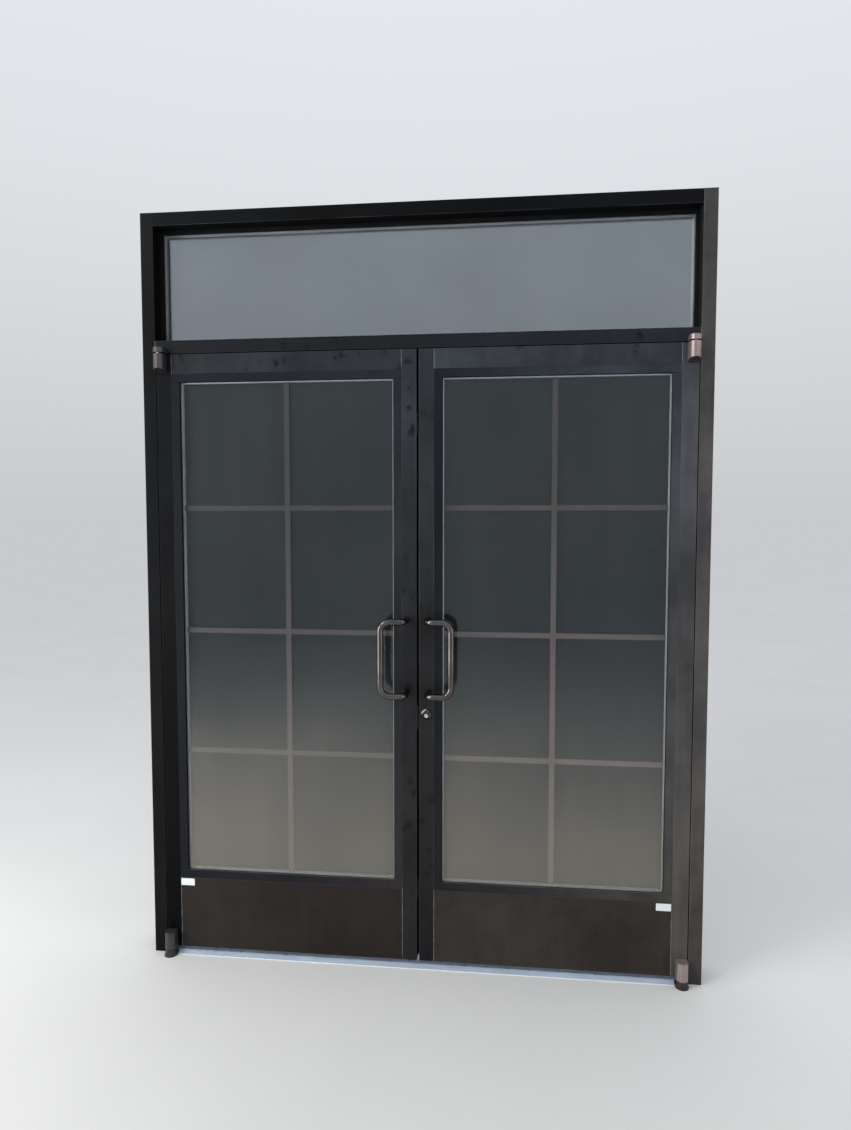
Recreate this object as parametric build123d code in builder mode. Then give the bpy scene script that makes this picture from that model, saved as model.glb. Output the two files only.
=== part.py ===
"""A pair of glazed entrance leaves in a metal frame with a fixed transom light.

The outside faces -Y. The origin is on the floor, at the middle of the opening and at the
middle of the leaves' thickness, and +Z is up. All sizes are in millimetres.
"""

import os

from build123d import *

LEFT = -1
RIGHT = 1
OUTSIDE = -1
INSIDE = 1

# Frame
opening_width = 1828.8
opening_height = 2133.6
transom_height = 387.35
frame_face = 44.45
frame_depth = 114.3
frame_wall = 3.2
tube_corner_radius = 0.8
screw_spline_radius = 5.0
screw_spline_bore = 2.2
screw_spline_inset = 26.0

# Wall anchors
anchor_hole_radius = 4.0
anchor_access_radius = 7.0
anchor_spacing = 1500.0
anchor_inner_spacing = 560.0
head_anchor_spacing = 1200.0

# Leaves
leaf_thickness = 44.45
leaf_wall = 3.2
hinge_gap = 3.2
top_gap = 3.2
meeting_gap = 8.0
floor_clearance = 25.4
hinge_stile_face = 54.0
meeting_stile_face = 50.8
top_rail_face = 66.7
bottom_rail_face = 254.0

# Glazing of the leaves
stop_face = 28.6
stop_wall = 2.4
stop_joint = 0.4
stop_corner_radius = 1.2
pane_thickness = 6.0
pane_chamfer = 1.0
unit_thickness = 25.4
glass_bite = 9.5
gasket_thickness = 2.5
gasket_lip = 1.0
edge_seal = 5.0
spacer_face = 8.0
grille_width = 18.0
grille_thickness = 6.0
grille_rows = 4
setting_block_length = 100.0

# Door stops and transom glazing
frame_stop_face = 15.9
frame_stop_depth = 16.0
stop_clearance = 4.8
transom_stop_face = 9.5
transom_edge_clearance = 3.5
strip_width = 5.0
strip_groove = 3.0
jamb_strip_lip = 1.4
head_strip_gap = 0.4

# Threshold
threshold_height = 12.7
threshold_nose = 12.7
threshold_edge = 3.5
threshold_slope = 16.0
threshold_wall = 3.2
threshold_bays = 3
flute_count = 13
flute_pitch = 6.0
flute_width = 2.6
flute_depth = 1.0
threshold_screw_radius = 2.6
threshold_screw_head = 5.0
threshold_screw_pitch = 500.0
threshold_screw_count = 4

# Offset pivots
pivot_offset = 19.05
knuckle_radius = 19.0
top_knuckle_height = 64.0
bottom_knuckle_height = 61.0
frame_knuckle_height = 18.2
knuckle_edge = 0.8
knuckle_slope = 13.5
pin_radius = 6.35
pin_clearance = 0.05
pin_length = 32.0
bearing_radius = 10.0
bearing_height = 2.7
running_gap = 0.3
tang_width = 32.0
tang_thickness = 6.0
neck_width = 24.0
neck_fit = 0.2
floor_base_thickness = 5.0
floor_base_radius = 22.0
notch_clearance = 1.0

# Pull handles
pull_diameter = 22.0
pull_centres = 250.0
pull_height = 1097.0
pull_foot_setback = 8.0
pull_offset = 81.0
pull_projection = 70.0
neck_bend = 24.0
corner_bend = 32.0

# Lock in the right leaf
lock_height = 898.0
cylinder_radius = 14.7
cylinder_fit = 0.3
trim_radius = 17.8
trim_height = 6.0
trim_taper = 3.0
trim_dish = 1.2
plug_radius = 6.45
plug_fit = 0.05
plug_drop = 5.0
tail_radius = 4.0
keyway_width = 2.0
keyway_height = 7.5
turn_length = 30.0
turn_thickness = 8.0
turn_height = 16.0
turn_edge_radius = 2.0
case_thickness = 19.0
case_depth = 39.0
case_height = 110.0
case_drop = 11.0
case_plate_width = 25.4
case_plate_height = 175.0
plate_fit = 0.2
bolt_pivot_drop = 38.0
bolt_pivot_setback = 13.0
bolt_reach = 47.0
bolt_width = 18.0
bolt_thickness = 12.7
bolt_side_fit = 0.25
bolt_pin_radius = 4.0
bolt_slot_margin = 1.2

# Flush bolts in the left leaf
flush_rod_radius = 6.35
flush_rod_length = 260.0
flush_rod_inset = 1.5
flush_rod_chamfer = 1.2
flush_throw = 19.0
flush_hole_clearance = 0.6
flush_guide_height = 30.0
flush_guide_fit = 0.1
flush_plate_width = 19.0
flush_plate_height = 76.0
thumb_width = 6.0
thumb_height = 12.0
thumb_recess = 0.6

# Seal between the leaves
seal_width = 4.0
seal_groove = 1.6
seal_tip_past_middle = 1.0
seal_setback = 3.2

# Places worked out from the sizes above
jamb_x = opening_width / 2
front_y = -leaf_thickness / 2
back_y = leaf_thickness / 2
frame_back_y = front_y + frame_depth
frame_mid_y = front_y + frame_depth / 2
bar_top = opening_height + frame_face
head_bottom = bar_top + transom_height
frame_top = head_bottom + frame_face

leaf_bottom = floor_clearance
leaf_top = opening_height - top_gap
hinge_edge_x = jamb_x - hinge_gap
meeting_edge_x = meeting_gap / 2
stile_centre_x = meeting_edge_x + meeting_stile_face / 2
axis_x = hinge_edge_x - pivot_offset
axis_y = front_y - pivot_offset

pocket_x = (meeting_edge_x + meeting_stile_face, hinge_edge_x - hinge_stile_face)
pocket_z = (leaf_bottom + bottom_rail_face, leaf_top - top_rail_face)
glass_edge_clearance = stop_face - glass_bite

frame_stop_y = back_y + stop_clearance
strip_y = frame_stop_y + strip_groove
lock_x = stile_centre_x
bolt_pivot_x = meeting_edge_x + bolt_pivot_setback
bolt_pivot_z = lock_height - bolt_pivot_drop
case_mid_z = lock_height - case_drop
case_side_y = case_thickness / 2
bolt_slot_low = bolt_pivot_z - bolt_width / 2 - bolt_slot_margin
bolt_slot_high = bolt_pivot_z + bolt_reach + bolt_slot_margin
flush_x = -stile_centre_x
flush_hole_radius = flush_rod_radius + flush_hole_clearance


def block(low, high, mode=Mode.ADD):
    """Add or cut a rectangular block, given two opposite corners."""
    size = [abs(b - a) for a, b in zip(low, high)]
    centre = tuple((a + b) / 2 for a, b in zip(low, high))
    with Locations(centre):
        Box(*size, mode=mode)


def drill(centre, direction, radius, length):
    """Cut a round hole that starts at centre and runs along direction."""
    with BuildSketch(Plane(origin=centre, z_dir=direction)) as mouth:
        Circle(radius)
    extrude(mouth.sketch, amount=length, mode=Mode.SUBTRACT)


def keep(piece, name):
    """Label a finished piece and write it to its own file."""
    piece.part.label = name
    export_step(piece.part, f"parts/{name}.step")


def upright_tube(x_span, z_span, depth, mid_y, wall):
    """A hollow rectangular extrusion that stands on end."""
    width = abs(x_span[1] - x_span[0])
    with BuildPart() as tube:
        with BuildSketch(Plane((sum(x_span) / 2, mid_y, z_span[0]))):
            RectangleRounded(width, depth, tube_corner_radius)
            Rectangle(width - 2 * wall, depth - 2 * wall, mode=Mode.SUBTRACT)
        extrude(amount=z_span[1] - z_span[0])
    return tube


def lying_tube(x_span, z_span, depth, mid_y, wall, splines=(), web=False):
    """A hollow rectangular extrusion that lies along X, with screw splines where asked."""
    height = z_span[1] - z_span[0]
    start = min(x_span)
    with BuildPart() as tube:
        with BuildSketch(Plane.YZ.offset(start)):
            with Locations((mid_y, sum(z_span) / 2)):
                RectangleRounded(depth, height, tube_corner_radius)
                Rectangle(depth - 2 * wall, height - 2 * wall, mode=Mode.SUBTRACT)
                if web:
                    Rectangle(depth - wall, wall)
            for spline_y, spline_z in splines:
                with Locations((spline_y, spline_z)):
                    Circle(screw_spline_radius)
                    Circle(screw_spline_bore, mode=Mode.SUBTRACT)
        extrude(amount=abs(x_span[1] - x_span[0]))
    return tube


def ring(x_span, z_span, y_span, width):
    """Add a rectangular ring that faces along Y, width wide all round."""
    across = x_span[1] - x_span[0]
    tall = z_span[1] - z_span[0]
    centre = (sum(x_span) / 2, y_span[1], sum(z_span) / 2)
    with BuildSketch(Plane(origin=centre, x_dir=(1, 0, 0), z_dir=(0, -1, 0))) as outline:
        Rectangle(across, tall)
        Rectangle(across - 2 * width, tall - 2 * width, mode=Mode.SUBTRACT)
    extrude(outline.sketch, amount=y_span[1] - y_span[0])


def inset(span, amount):
    """A span made smaller by amount at both ends."""
    return (min(span) + amount, max(span) - amount)


def on_side(side, span):
    """A span of the right-hand side, placed on the side asked for, lowest first."""
    return tuple(sorted((side * span[0], side * span[1])))


# Frame members


def jamb(side):
    """An upright of the frame, with anchor holes that the stops cover."""
    outer_x = side * (jamb_x + frame_face)
    jamb_piece = upright_tube(
        (side * jamb_x, outer_x), (0, frame_top), frame_depth, frame_mid_y, frame_wall
    )
    anchor_y = frame_stop_y + frame_stop_depth / 2
    middle = opening_height / 2
    heights = []
    for spread in (anchor_spacing, anchor_inner_spacing):
        heights += [middle - spread / 2, middle + spread / 2]
    with jamb_piece:
        for height in heights:
            drill((outer_x, anchor_y, height), (-side, 0, 0), anchor_hole_radius, frame_face / 2)
            drill((side * jamb_x, anchor_y, height), (side, 0, 0), anchor_access_radius, frame_face / 2)
    return jamb_piece


def cross_member(low, high):
    """The head or the transom bar, between the jambs."""
    spline_ys = (front_y + screw_spline_inset, frame_back_y - screw_spline_inset)
    spline_z = high - frame_wall - screw_spline_radius + frame_wall / 2
    return lying_tube(
        (-jamb_x, jamb_x), (low, high), frame_depth, frame_mid_y, frame_wall,
        splines=[(y, spline_z) for y in spline_ys],
    )


def head():
    """The top of the frame, with anchor holes that the transom stop covers."""
    head_piece = cross_member(head_bottom, frame_top)
    anchor_y = frame_stop_y + frame_stop_depth / 2
    with head_piece:
        for x in (-head_anchor_spacing / 2, head_anchor_spacing / 2):
            drill((x, anchor_y, frame_top), (0, 0, -1), anchor_hole_radius, frame_face / 2)
            drill((x, anchor_y, head_bottom), (0, 0, 1), anchor_access_radius, frame_face / 2)
    return head_piece


def transom_bar():
    """The bar over the leaves, which carries the top pivots and takes the flush bolt."""
    bar = cross_member(opening_height, bar_top)
    with bar:
        drill((flush_x, 0, opening_height), (0, 0, 1), flush_hole_radius, frame_face / 2)
        for side in (LEFT, RIGHT):
            cut_tang_slot(side, *frame_tang_z())
    return bar


def threshold():
    """A fluted saddle between the jambs, hollow below and notched round the floor pivots."""
    low_y = front_y - threshold_nose
    top_plate = threshold_height - threshold_wall - flute_depth
    with BuildPart() as saddle:
        with BuildSketch(Plane.YZ.offset(-jamb_x)):
            with BuildLine():
                Polyline(
                    (low_y, 0),
                    (low_y, threshold_edge),
                    (low_y + threshold_slope, threshold_height),
                    (frame_back_y - threshold_slope, threshold_height),
                    (frame_back_y, threshold_edge),
                    (frame_back_y, 0),
                    close=True,
                )
            make_face()
            inner_low = low_y + threshold_slope
            inner_high = frame_back_y - threshold_slope
            ribs = (threshold_bays - 1) * threshold_wall
            bay = (inner_high - inner_low - ribs) / threshold_bays
            with Locations(((inner_low + inner_high) / 2, top_plate / 2)):
                with GridLocations(bay + threshold_wall, 0, threshold_bays, 1):
                    Rectangle(bay, top_plate, mode=Mode.SUBTRACT)
            with Locations(((inner_low + inner_high) / 2, threshold_height)):
                with GridLocations(flute_pitch, 0, flute_count, 1):
                    Rectangle(flute_width, 2 * flute_depth, mode=Mode.SUBTRACT)
        extrude(amount=opening_width)
        for side in (LEFT, RIGHT):
            notch_x = side * (axis_x - floor_base_radius - notch_clearance)
            notch_y = axis_y + floor_base_radius + notch_clearance
            block((notch_x, low_y, 0), (side * jamb_x, notch_y, threshold_height), mode=Mode.SUBTRACT)
        drill((flush_x, 0, threshold_height), (0, 0, -1), flush_hole_radius, threshold_height)
        screw_y = (low_y + frame_back_y) / 2
        with Locations((0, screw_y, threshold_height)):
            with GridLocations(threshold_screw_pitch, 0, threshold_screw_count, 1):
                CounterSinkHole(threshold_screw_radius, threshold_screw_head, depth=threshold_height)
    return saddle


def jamb_stop(side):
    """The strip on a jamb that a leaf closes against, grooved for its seal."""
    edge_x = side * (jamb_x - frame_stop_face)
    with BuildPart() as stop:
        block(
            (side * jamb_x, frame_stop_y, threshold_height),
            (edge_x, frame_stop_y + frame_stop_depth, opening_height),
        )
        groove_x = side * (jamb_x - frame_stop_face / 2)
        block(
            (groove_x - strip_width / 2, frame_stop_y, threshold_height),
            (groove_x + strip_width / 2, strip_y, opening_height),
            mode=Mode.SUBTRACT,
        )
    return stop


def head_stop():
    """The strip below the transom bar, between the jamb stops."""
    reach = jamb_x - frame_stop_face
    groove_z = opening_height - frame_stop_face / 2
    with BuildPart() as stop:
        block(
            (-reach, frame_stop_y, opening_height - frame_stop_face),
            (reach, frame_stop_y + frame_stop_depth, opening_height),
        )
        block(
            (-reach, frame_stop_y, groove_z - strip_width / 2),
            (reach, strip_y, groove_z + strip_width / 2),
            mode=Mode.SUBTRACT,
        )
    return stop


def frame_weatherstrip():
    """Three lengths of seal in the grooves of the stops; the head one ends at the pivots."""
    groove_z = opening_height - frame_stop_face / 2
    with BuildPart() as strips:
        for side in (LEFT, RIGHT):
            groove_x = side * (jamb_x - frame_stop_face / 2)
            block(
                (groove_x - strip_width / 2, frame_stop_y - jamb_strip_lip, threshold_height),
                (groove_x + strip_width / 2, strip_y, leaf_top - frame_stop_face),
            )
        reach = axis_x - pivot_offset
        block(
            (-reach, back_y + head_strip_gap, groove_z - strip_width / 2),
            (reach, strip_y, groove_z + strip_width / 2),
        )
    return strips


def transom_stops(near_y):
    """Four bars round the transom light, which hold the glass from one side."""
    far_y = near_y + frame_stop_depth
    with BuildPart() as stops:
        for low, high in (
            (bar_top, bar_top + transom_stop_face),
            (head_bottom - transom_stop_face, head_bottom),
        ):
            block((-jamb_x, near_y, low), (jamb_x, far_y, high))
        for side in (LEFT, RIGHT):
            block(
                (side * jamb_x, near_y, bar_top + transom_stop_face + stop_joint),
                (side * (jamb_x - transom_stop_face), far_y, head_bottom - transom_stop_face - stop_joint),
            )
    return stops


# Sealed glass units


def pane(x_span, z_span, y_span):
    """One sheet of glass, its edges ground to a small flat."""
    with BuildPart() as sheet:
        block((x_span[0], y_span[0], z_span[0]), (x_span[1], y_span[1], z_span[1]))
        chamfer(sheet.edges().filter_by(Axis.Y), pane_chamfer)
    return sheet


def spacer(x_span, z_span, mid_y):
    """The metal bar round the edge of a sealed unit, which holds its panes apart."""
    half_gap = unit_thickness / 2 - pane_thickness
    y_span = (mid_y - half_gap, mid_y + half_gap)
    with BuildPart() as bar:
        ring(inset(x_span, edge_seal), inset(z_span, edge_seal), y_span, spacer_face)
    return bar


def gaskets(glass_x, glass_z, mid_y, bite, edge_gap):
    """The rubber on both sides of a unit, and the two blocks that the unit stands on."""
    width = bite + gasket_lip
    half = unit_thickness / 2
    half_block = half - pane_thickness / 2
    half_length = setting_block_length / 2
    with BuildPart() as rubber:
        ring(glass_x, glass_z, (mid_y - half - gasket_thickness, mid_y - half), width)
        ring(glass_x, glass_z, (mid_y + half, mid_y + half + gasket_thickness), width)
        quarter = (glass_x[1] - glass_x[0]) / 4
        for block_x in (glass_x[0] + quarter, glass_x[1] - quarter):
            block(
                (block_x - half_length, mid_y - half_block, glass_z[0] - edge_gap),
                (block_x + half_length, mid_y + half_block, glass_z[0]),
            )
    return rubber


def grille(side, light_x, light_z):
    """The flat bars between the panes, notched into one another as one lattice."""
    x_span = on_side(side, light_x)
    mid_x = sum(x_span) / 2
    row = (light_z[1] - light_z[0]) / grille_rows
    with BuildPart() as bars:
        with BuildSketch(Plane.XZ):
            with Locations((mid_x, sum(light_z) / 2)):
                Rectangle(grille_width, light_z[1] - light_z[0])
                with GridLocations(0, row, 1, grille_rows - 1):
                    Rectangle(x_span[1] - x_span[0], grille_width)
        extrude(amount=grille_thickness / 2, both=True)
    return bars


# Leaf members


def cut_tang_slot(side, low, high):
    """Cut the slot in a front wall that a pivot's neck goes through."""
    half = neck_width / 2 + neck_fit
    x = side * (axis_x - (knuckle_radius - tang_width / 2))
    block(
        (x - half, front_y, low - neck_fit),
        (x + half, front_y + leaf_wall, high + neck_fit),
        mode=Mode.SUBTRACT,
    )


def knuckle_z(which):
    """The height span of a leaf's top or bottom knuckle."""
    if which == "top":
        high = leaf_top - running_gap - knuckle_edge
        return (high - top_knuckle_height, high)
    return (leaf_bottom, leaf_bottom + bottom_knuckle_height)


def frame_tang_z():
    """The height span of the neck of the bracket on the transom bar."""
    low = opening_height + frame_wall
    return (low + neck_fit, low + frame_knuckle_height / 2)


def hinge_stile(side):
    """The upright on the pivot side, slotted for the necks of both pivots."""
    x_span = (side * hinge_edge_x, side * pocket_x[1])
    stile = upright_tube(x_span, (leaf_bottom, leaf_top), leaf_thickness, 0, leaf_wall)
    with stile:
        for which in ("top", "bottom"):
            low, high = knuckle_z(which)
            quarter = (high - low) / 4
            cut_tang_slot(side, low + quarter, high - quarter)
    return stile


def meeting_stile(side):
    """The upright at the middle of the door, cut for the lock or for the flush bolts."""
    x_span = (side * meeting_edge_x, side * pocket_x[0])
    stile = upright_tube(x_span, (leaf_bottom, leaf_top), leaf_thickness, 0, leaf_wall)
    edge = side * meeting_edge_x
    wall_x = side * (meeting_edge_x + leaf_wall)
    with stile:
        if side == RIGHT:
            half = case_plate_width / 2 + plate_fit
            low, high = inset(plate_z(), -plate_fit)
            block((edge, -half, low), (wall_x, half, high), mode=Mode.SUBTRACT)
            for face in (OUTSIDE, INSIDE):
                start = (lock_x, face * leaf_thickness / 2, lock_height)
                drill(start, (0, -face, 0), cylinder_radius + cylinder_fit, 2 * leaf_wall)
            groove_low, groove_high = seal_y()
            block(
                (edge, groove_low, leaf_bottom),
                (edge + seal_groove, groove_high, leaf_top),
                mode=Mode.SUBTRACT,
            )
        else:
            half = case_plate_width / 2 + plate_fit
            low, high = inset(strike_z(), -plate_fit)
            block((edge, -half, low), (wall_x, half, high), mode=Mode.SUBTRACT)
            half = flush_plate_width / 2 + plate_fit
            for span in (flush_plate_z("top"), flush_plate_z("bottom")):
                low, high = inset(span, -plate_fit)
                block((edge, -half, low), (wall_x, half, high), mode=Mode.SUBTRACT)
    return stile


def top_rail(side):
    """The rail between the stiles at the top of a leaf."""
    return lying_tube(on_side(side, pocket_x), (pocket_z[1], leaf_top), leaf_thickness, 0, leaf_wall)


def bottom_rail(side):
    """The tall rail between the stiles at the foot of a leaf, with a web half way up."""
    return lying_tube(
        on_side(side, pocket_x), (leaf_bottom, pocket_z[0]), leaf_thickness, 0, leaf_wall, web=True
    )


def leaf_stops(side, face):
    """Four channel-shaped bars that hold a leaf's glass from one side."""
    x_span = on_side(side, pocket_x)
    outer = face * leaf_thickness / 2
    inner = face * (unit_thickness / 2 + gasket_thickness)
    depth = abs(outer - inner)
    hollow = depth - stop_wall
    hollow_centre = inner + face * hollow / 2
    front = 0 if face == OUTSIDE else -1
    with BuildPart() as stops:
        for low in (pocket_z[0], pocket_z[1] - stop_face):
            with BuildSketch(Plane.YZ.offset(x_span[0])) as section:
                with Locations(((outer + inner) / 2, low + stop_face / 2)):
                    Rectangle(depth, stop_face)
                fillet(section.vertices().group_by(Axis.X)[front], stop_corner_radius)
                with Locations((hollow_centre, low + stop_face / 2)):
                    Rectangle(hollow, stop_face - 2 * stop_wall, mode=Mode.SUBTRACT)
            extrude(amount=x_span[1] - x_span[0])
        upright_z = inset(pocket_z, stop_face + stop_joint)
        for low in (x_span[0], x_span[1] - stop_face):
            with BuildSketch(Plane.XY.offset(upright_z[0])) as section:
                with Locations((low + stop_face / 2, (outer + inner) / 2)):
                    Rectangle(stop_face, depth)
                fillet(section.vertices().group_by(Axis.Y)[front], stop_corner_radius)
                with Locations((low + stop_face / 2, hollow_centre)):
                    Rectangle(stop_face - 2 * stop_wall, hollow, mode=Mode.SUBTRACT)
            extrude(amount=upright_z[1] - upright_z[0])
    return stops


# Pivots


def knuckle(side, low, high):
    """Add the round-nosed block of a pivot, in front of the door and on its axis."""
    with BuildSketch(Plane.XY.offset(low)) as nose:
        with Locations((side * axis_x, axis_y)):
            Circle(knuckle_radius)
        with Locations((side * axis_x, (axis_y + front_y) / 2)):
            Rectangle(2 * knuckle_radius, pivot_offset)
    extrude(nose.sketch, amount=high - low)


def tang(side, low, high, spread):
    """Add the neck through a front wall and the plate behind it."""
    x = side * (axis_x - (knuckle_radius - tang_width / 2))
    block((x - neck_width / 2, front_y, low), (x + neck_width / 2, front_y + leaf_wall, high))
    block(
        (x - tang_width / 2, front_y + leaf_wall, low - spread[0]),
        (x + tang_width / 2, front_y + leaf_wall + tang_thickness, high + spread[1]),
    )


def slope_underside(side, low):
    """Cut the underside of a knuckle so that it rises from the door's face to the nose."""
    past = knuckle_edge
    reach = pivot_offset + knuckle_radius
    nose_y = front_y - reach - past
    nose_z = low + knuckle_slope * (reach + past) / reach
    with BuildSketch(Plane.YZ.offset(side * axis_x - knuckle_radius - past)) as wedge:
        with BuildLine():
            Polyline((front_y, low), (nose_y, low), (nose_y, nose_z), close=True)
        make_face()
    extrude(wedge.sketch, amount=2 * (knuckle_radius + past), mode=Mode.SUBTRACT)


def leaf_pivot(side, which):
    """A leaf's half of a pivot: a bored knuckle, held by a plate inside the stile."""
    low, high = knuckle_z(which)
    quarter = (high - low) / 4
    with BuildPart() as pivot:
        knuckle(side, low, high)
        if which == "top":
            slope_underside(side, low)
        rims = pivot.faces().filter_by(Axis.Z).edges().filter_by(GeomType.CIRCLE)
        rims += pivot.edges().filter_by(GeomType.ELLIPSE)
        chamfer(rims, knuckle_edge)
        tang(side, low + quarter, high - quarter, (quarter / 2, quarter / 2))
        bore_radius = pin_radius + pin_clearance
        bore_depth = pin_length + pin_radius
        if which == "top":
            drill((side * axis_x, axis_y, high), (0, 0, -1), bore_radius, bore_depth)
        else:
            drill((side * axis_x, axis_y, low), (0, 0, 1), bore_radius, bore_depth)
    return pivot


def top_bracket(side):
    """The frame's half of a top pivot: a short knuckle with the pin that hangs from it."""
    leaf_knuckle_top = knuckle_z("top")[1]
    low = leaf_knuckle_top + running_gap + bearing_height
    with BuildPart() as bracket:
        knuckle(side, low, low + frame_knuckle_height)
        rims = bracket.faces().filter_by(Axis.Z).edges().filter_by(GeomType.CIRCLE)
        chamfer(rims, knuckle_edge)
        tang_low, tang_high = frame_tang_z()
        tang(side, tang_low, tang_high, (0, frame_knuckle_height / 2))
        with BuildSketch(Plane((side * axis_x, axis_y, low - bearing_height))):
            Circle(bearing_radius)
        extrude(amount=bearing_height)
        with BuildSketch(Plane((side * axis_x, axis_y, leaf_knuckle_top - pin_length))):
            Circle(pin_radius)
        extrude(amount=low - leaf_knuckle_top + pin_length)
    return bracket


def floor_pivot(side):
    """The pivot on the floor: a base plate, a cone, a bearing face and an upright pin."""
    bearing_top = leaf_bottom - running_gap
    cone_top = bearing_top - bearing_height / 2
    with BuildPart() as pivot:
        with BuildSketch(Plane.XY):
            with Locations((side * axis_x, axis_y)):
                Circle(floor_base_radius)
            with Locations((side * axis_x, axis_y + floor_base_radius / 2)):
                Rectangle(2 * floor_base_radius, floor_base_radius)
        extrude(amount=floor_base_thickness)
        with BuildSketch(Plane((side * axis_x, axis_y, floor_base_thickness))):
            Circle(floor_base_radius - knuckle_edge)
        with BuildSketch(Plane((side * axis_x, axis_y, cone_top))):
            Circle(knuckle_radius - 2 * knuckle_edge)
        loft()
        with BuildSketch(Plane((side * axis_x, axis_y, cone_top))):
            Circle(bearing_radius)
        extrude(amount=bearing_top - cone_top)
        with BuildSketch(Plane((side * axis_x, axis_y, bearing_top))):
            Circle(pin_radius)
        extrude(amount=pin_length)
    return pivot


# Pull handles


def pull(side, face):
    """A round bar bent into an offset pull: out from the stile, over the glass and down."""
    foot_x = side * (stile_centre_x + pull_foot_setback)
    grip_x = foot_x + side * pull_offset
    face_y = face * leaf_thickness / 2
    grip_y = face_y + face * pull_projection
    top = pull_height + pull_centres / 2
    bottom = pull_height - pull_centres / 2
    route = [
        (foot_x, face_y, top),
        (foot_x, grip_y, top),
        (grip_x, grip_y, top),
        (grip_x, grip_y, bottom),
        (foot_x, grip_y, bottom),
        (foot_x, face_y, bottom),
    ]
    with BuildPart() as bar:
        with BuildLine() as path:
            FilletPolyline(*route, radius=[neck_bend, corner_bend, corner_bend, neck_bend])
        with BuildSketch(Plane(origin=route[0], z_dir=(0, face, 0))):
            Circle(pull_diameter / 2)
        sweep(path=path.wires()[0])
    return bar


# Lock


def plate_z():
    """The height span of the lock's face plate."""
    return (case_mid_z - case_plate_height / 2, case_mid_z + case_plate_height / 2)


def strike_z():
    """The height span of the strike plate in the other leaf."""
    margin = case_plate_width / 2
    return (bolt_slot_low - margin, bolt_slot_high + margin)


def cylinder_housing(face):
    """A lock cylinder's body and dished trim ring, bored below its middle for the plug."""
    skin_y = face * leaf_thickness / 2
    inner_y = face * case_side_y
    rim_y = skin_y + face * trim_height
    with BuildPart() as housing:
        with BuildSketch(Plane((lock_x, 0, lock_height))):
            with BuildLine():
                Polyline(
                    (0, inner_y),
                    (cylinder_radius, inner_y),
                    (cylinder_radius, skin_y),
                    (trim_radius, skin_y),
                    (trim_radius, rim_y - face * trim_taper),
                    (trim_radius - trim_taper, rim_y),
                    (trim_radius - 2 * trim_taper, rim_y - face * trim_dish),
                    (0, rim_y - face * trim_dish),
                    close=True,
                )
            make_face()
        revolve(axis=Axis((lock_x, 0, lock_height), (0, 1, 0)))
        start = (lock_x, rim_y, lock_height - plug_drop)
        drill(start, (0, -face, 0), plug_radius + plug_fit, abs(rim_y - inner_y))
    return housing


def plug_body(face):
    """Add a lock plug and the tail that reaches into the case."""
    rim_y = face * (leaf_thickness / 2 + trim_height)
    inner_y = face * (case_side_y + running_gap)
    tail_y = face * (bolt_thickness / 2 + 2 * running_gap)
    centre = (lock_x, rim_y, lock_height - plug_drop)
    with BuildSketch(Plane(origin=centre, z_dir=(0, -face, 0))) as barrel:
        Circle(plug_radius)
    extrude(barrel.sketch, amount=abs(rim_y - inner_y))
    with BuildSketch(Plane(origin=(centre[0], inner_y, centre[2]), z_dir=(0, -face, 0))) as tail:
        Circle(tail_radius)
    extrude(tail.sketch, amount=abs(inner_y - tail_y))


def key_plug():
    """The plug that a key turns, with its keyway."""
    rim_y = front_y - trim_height
    with BuildPart() as plug:
        plug_body(OUTSIDE)
        block(
            (lock_x - keyway_width / 2, rim_y, lock_height - plug_drop - keyway_height / 2),
            (lock_x + keyway_width / 2, rim_y + 2 * trim_height, lock_height - plug_drop + keyway_height / 2),
            mode=Mode.SUBTRACT,
        )
    return plug


def thumb_turn():
    """The inside plug with an oval grip to turn by hand, upright when unlocked."""
    rim_y = back_y + trim_height
    with BuildPart() as turn:
        plug_body(INSIDE)
        with BuildSketch(Plane(origin=(lock_x, rim_y, lock_height - plug_drop), z_dir=(0, 1, 0))):
            Circle(plug_radius)
        extrude(amount=running_gap)
        foot = (lock_x, rim_y + running_gap, lock_height - plug_drop)
        with BuildSketch(Plane(origin=foot, x_dir=(0, 0, 1), z_dir=(0, 1, 0))):
            SlotOverall(turn_length, turn_thickness)
        extrude(amount=turn_height)
        grip_edges = turn.faces().sort_by(Axis.Y)[-1].edges()
        fillet(grip_edges, turn_edge_radius)
    return turn


def lock_case():
    """The lock's case: a face plate in the stile's edge and a box that the bolt turns in."""
    plate_low, plate_high = plate_z()
    half_plate = case_plate_width / 2
    half_bolt = bolt_thickness / 2 + bolt_side_fit
    back_x = meeting_edge_x + leaf_wall + case_depth
    cavity_x = bolt_pivot_x + bolt_width / 2 + bolt_slot_margin
    with BuildPart() as case:
        block(
            (meeting_edge_x, -half_plate, plate_low),
            (meeting_edge_x + leaf_wall, half_plate, plate_high),
        )
        block(
            (meeting_edge_x + leaf_wall, -case_side_y, case_mid_z - case_height / 2),
            (back_x, case_side_y, case_mid_z + case_height / 2),
        )
        block(
            (meeting_edge_x, -half_bolt, bolt_slot_low),
            (cavity_x, half_bolt, bolt_slot_high),
            mode=Mode.SUBTRACT,
        )
        for face in (OUTSIDE, INSIDE):
            start = (lock_x, face * case_side_y, lock_height - plug_drop)
            drill(start, (0, -face, 0), tail_radius + running_gap, case_side_y - half_bolt)
        with BuildSketch(Plane(origin=(bolt_pivot_x, -case_side_y, bolt_pivot_z), z_dir=(0, 1, 0))):
            Circle(bolt_pin_radius)
        extrude(amount=case_thickness)
    return case


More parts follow.
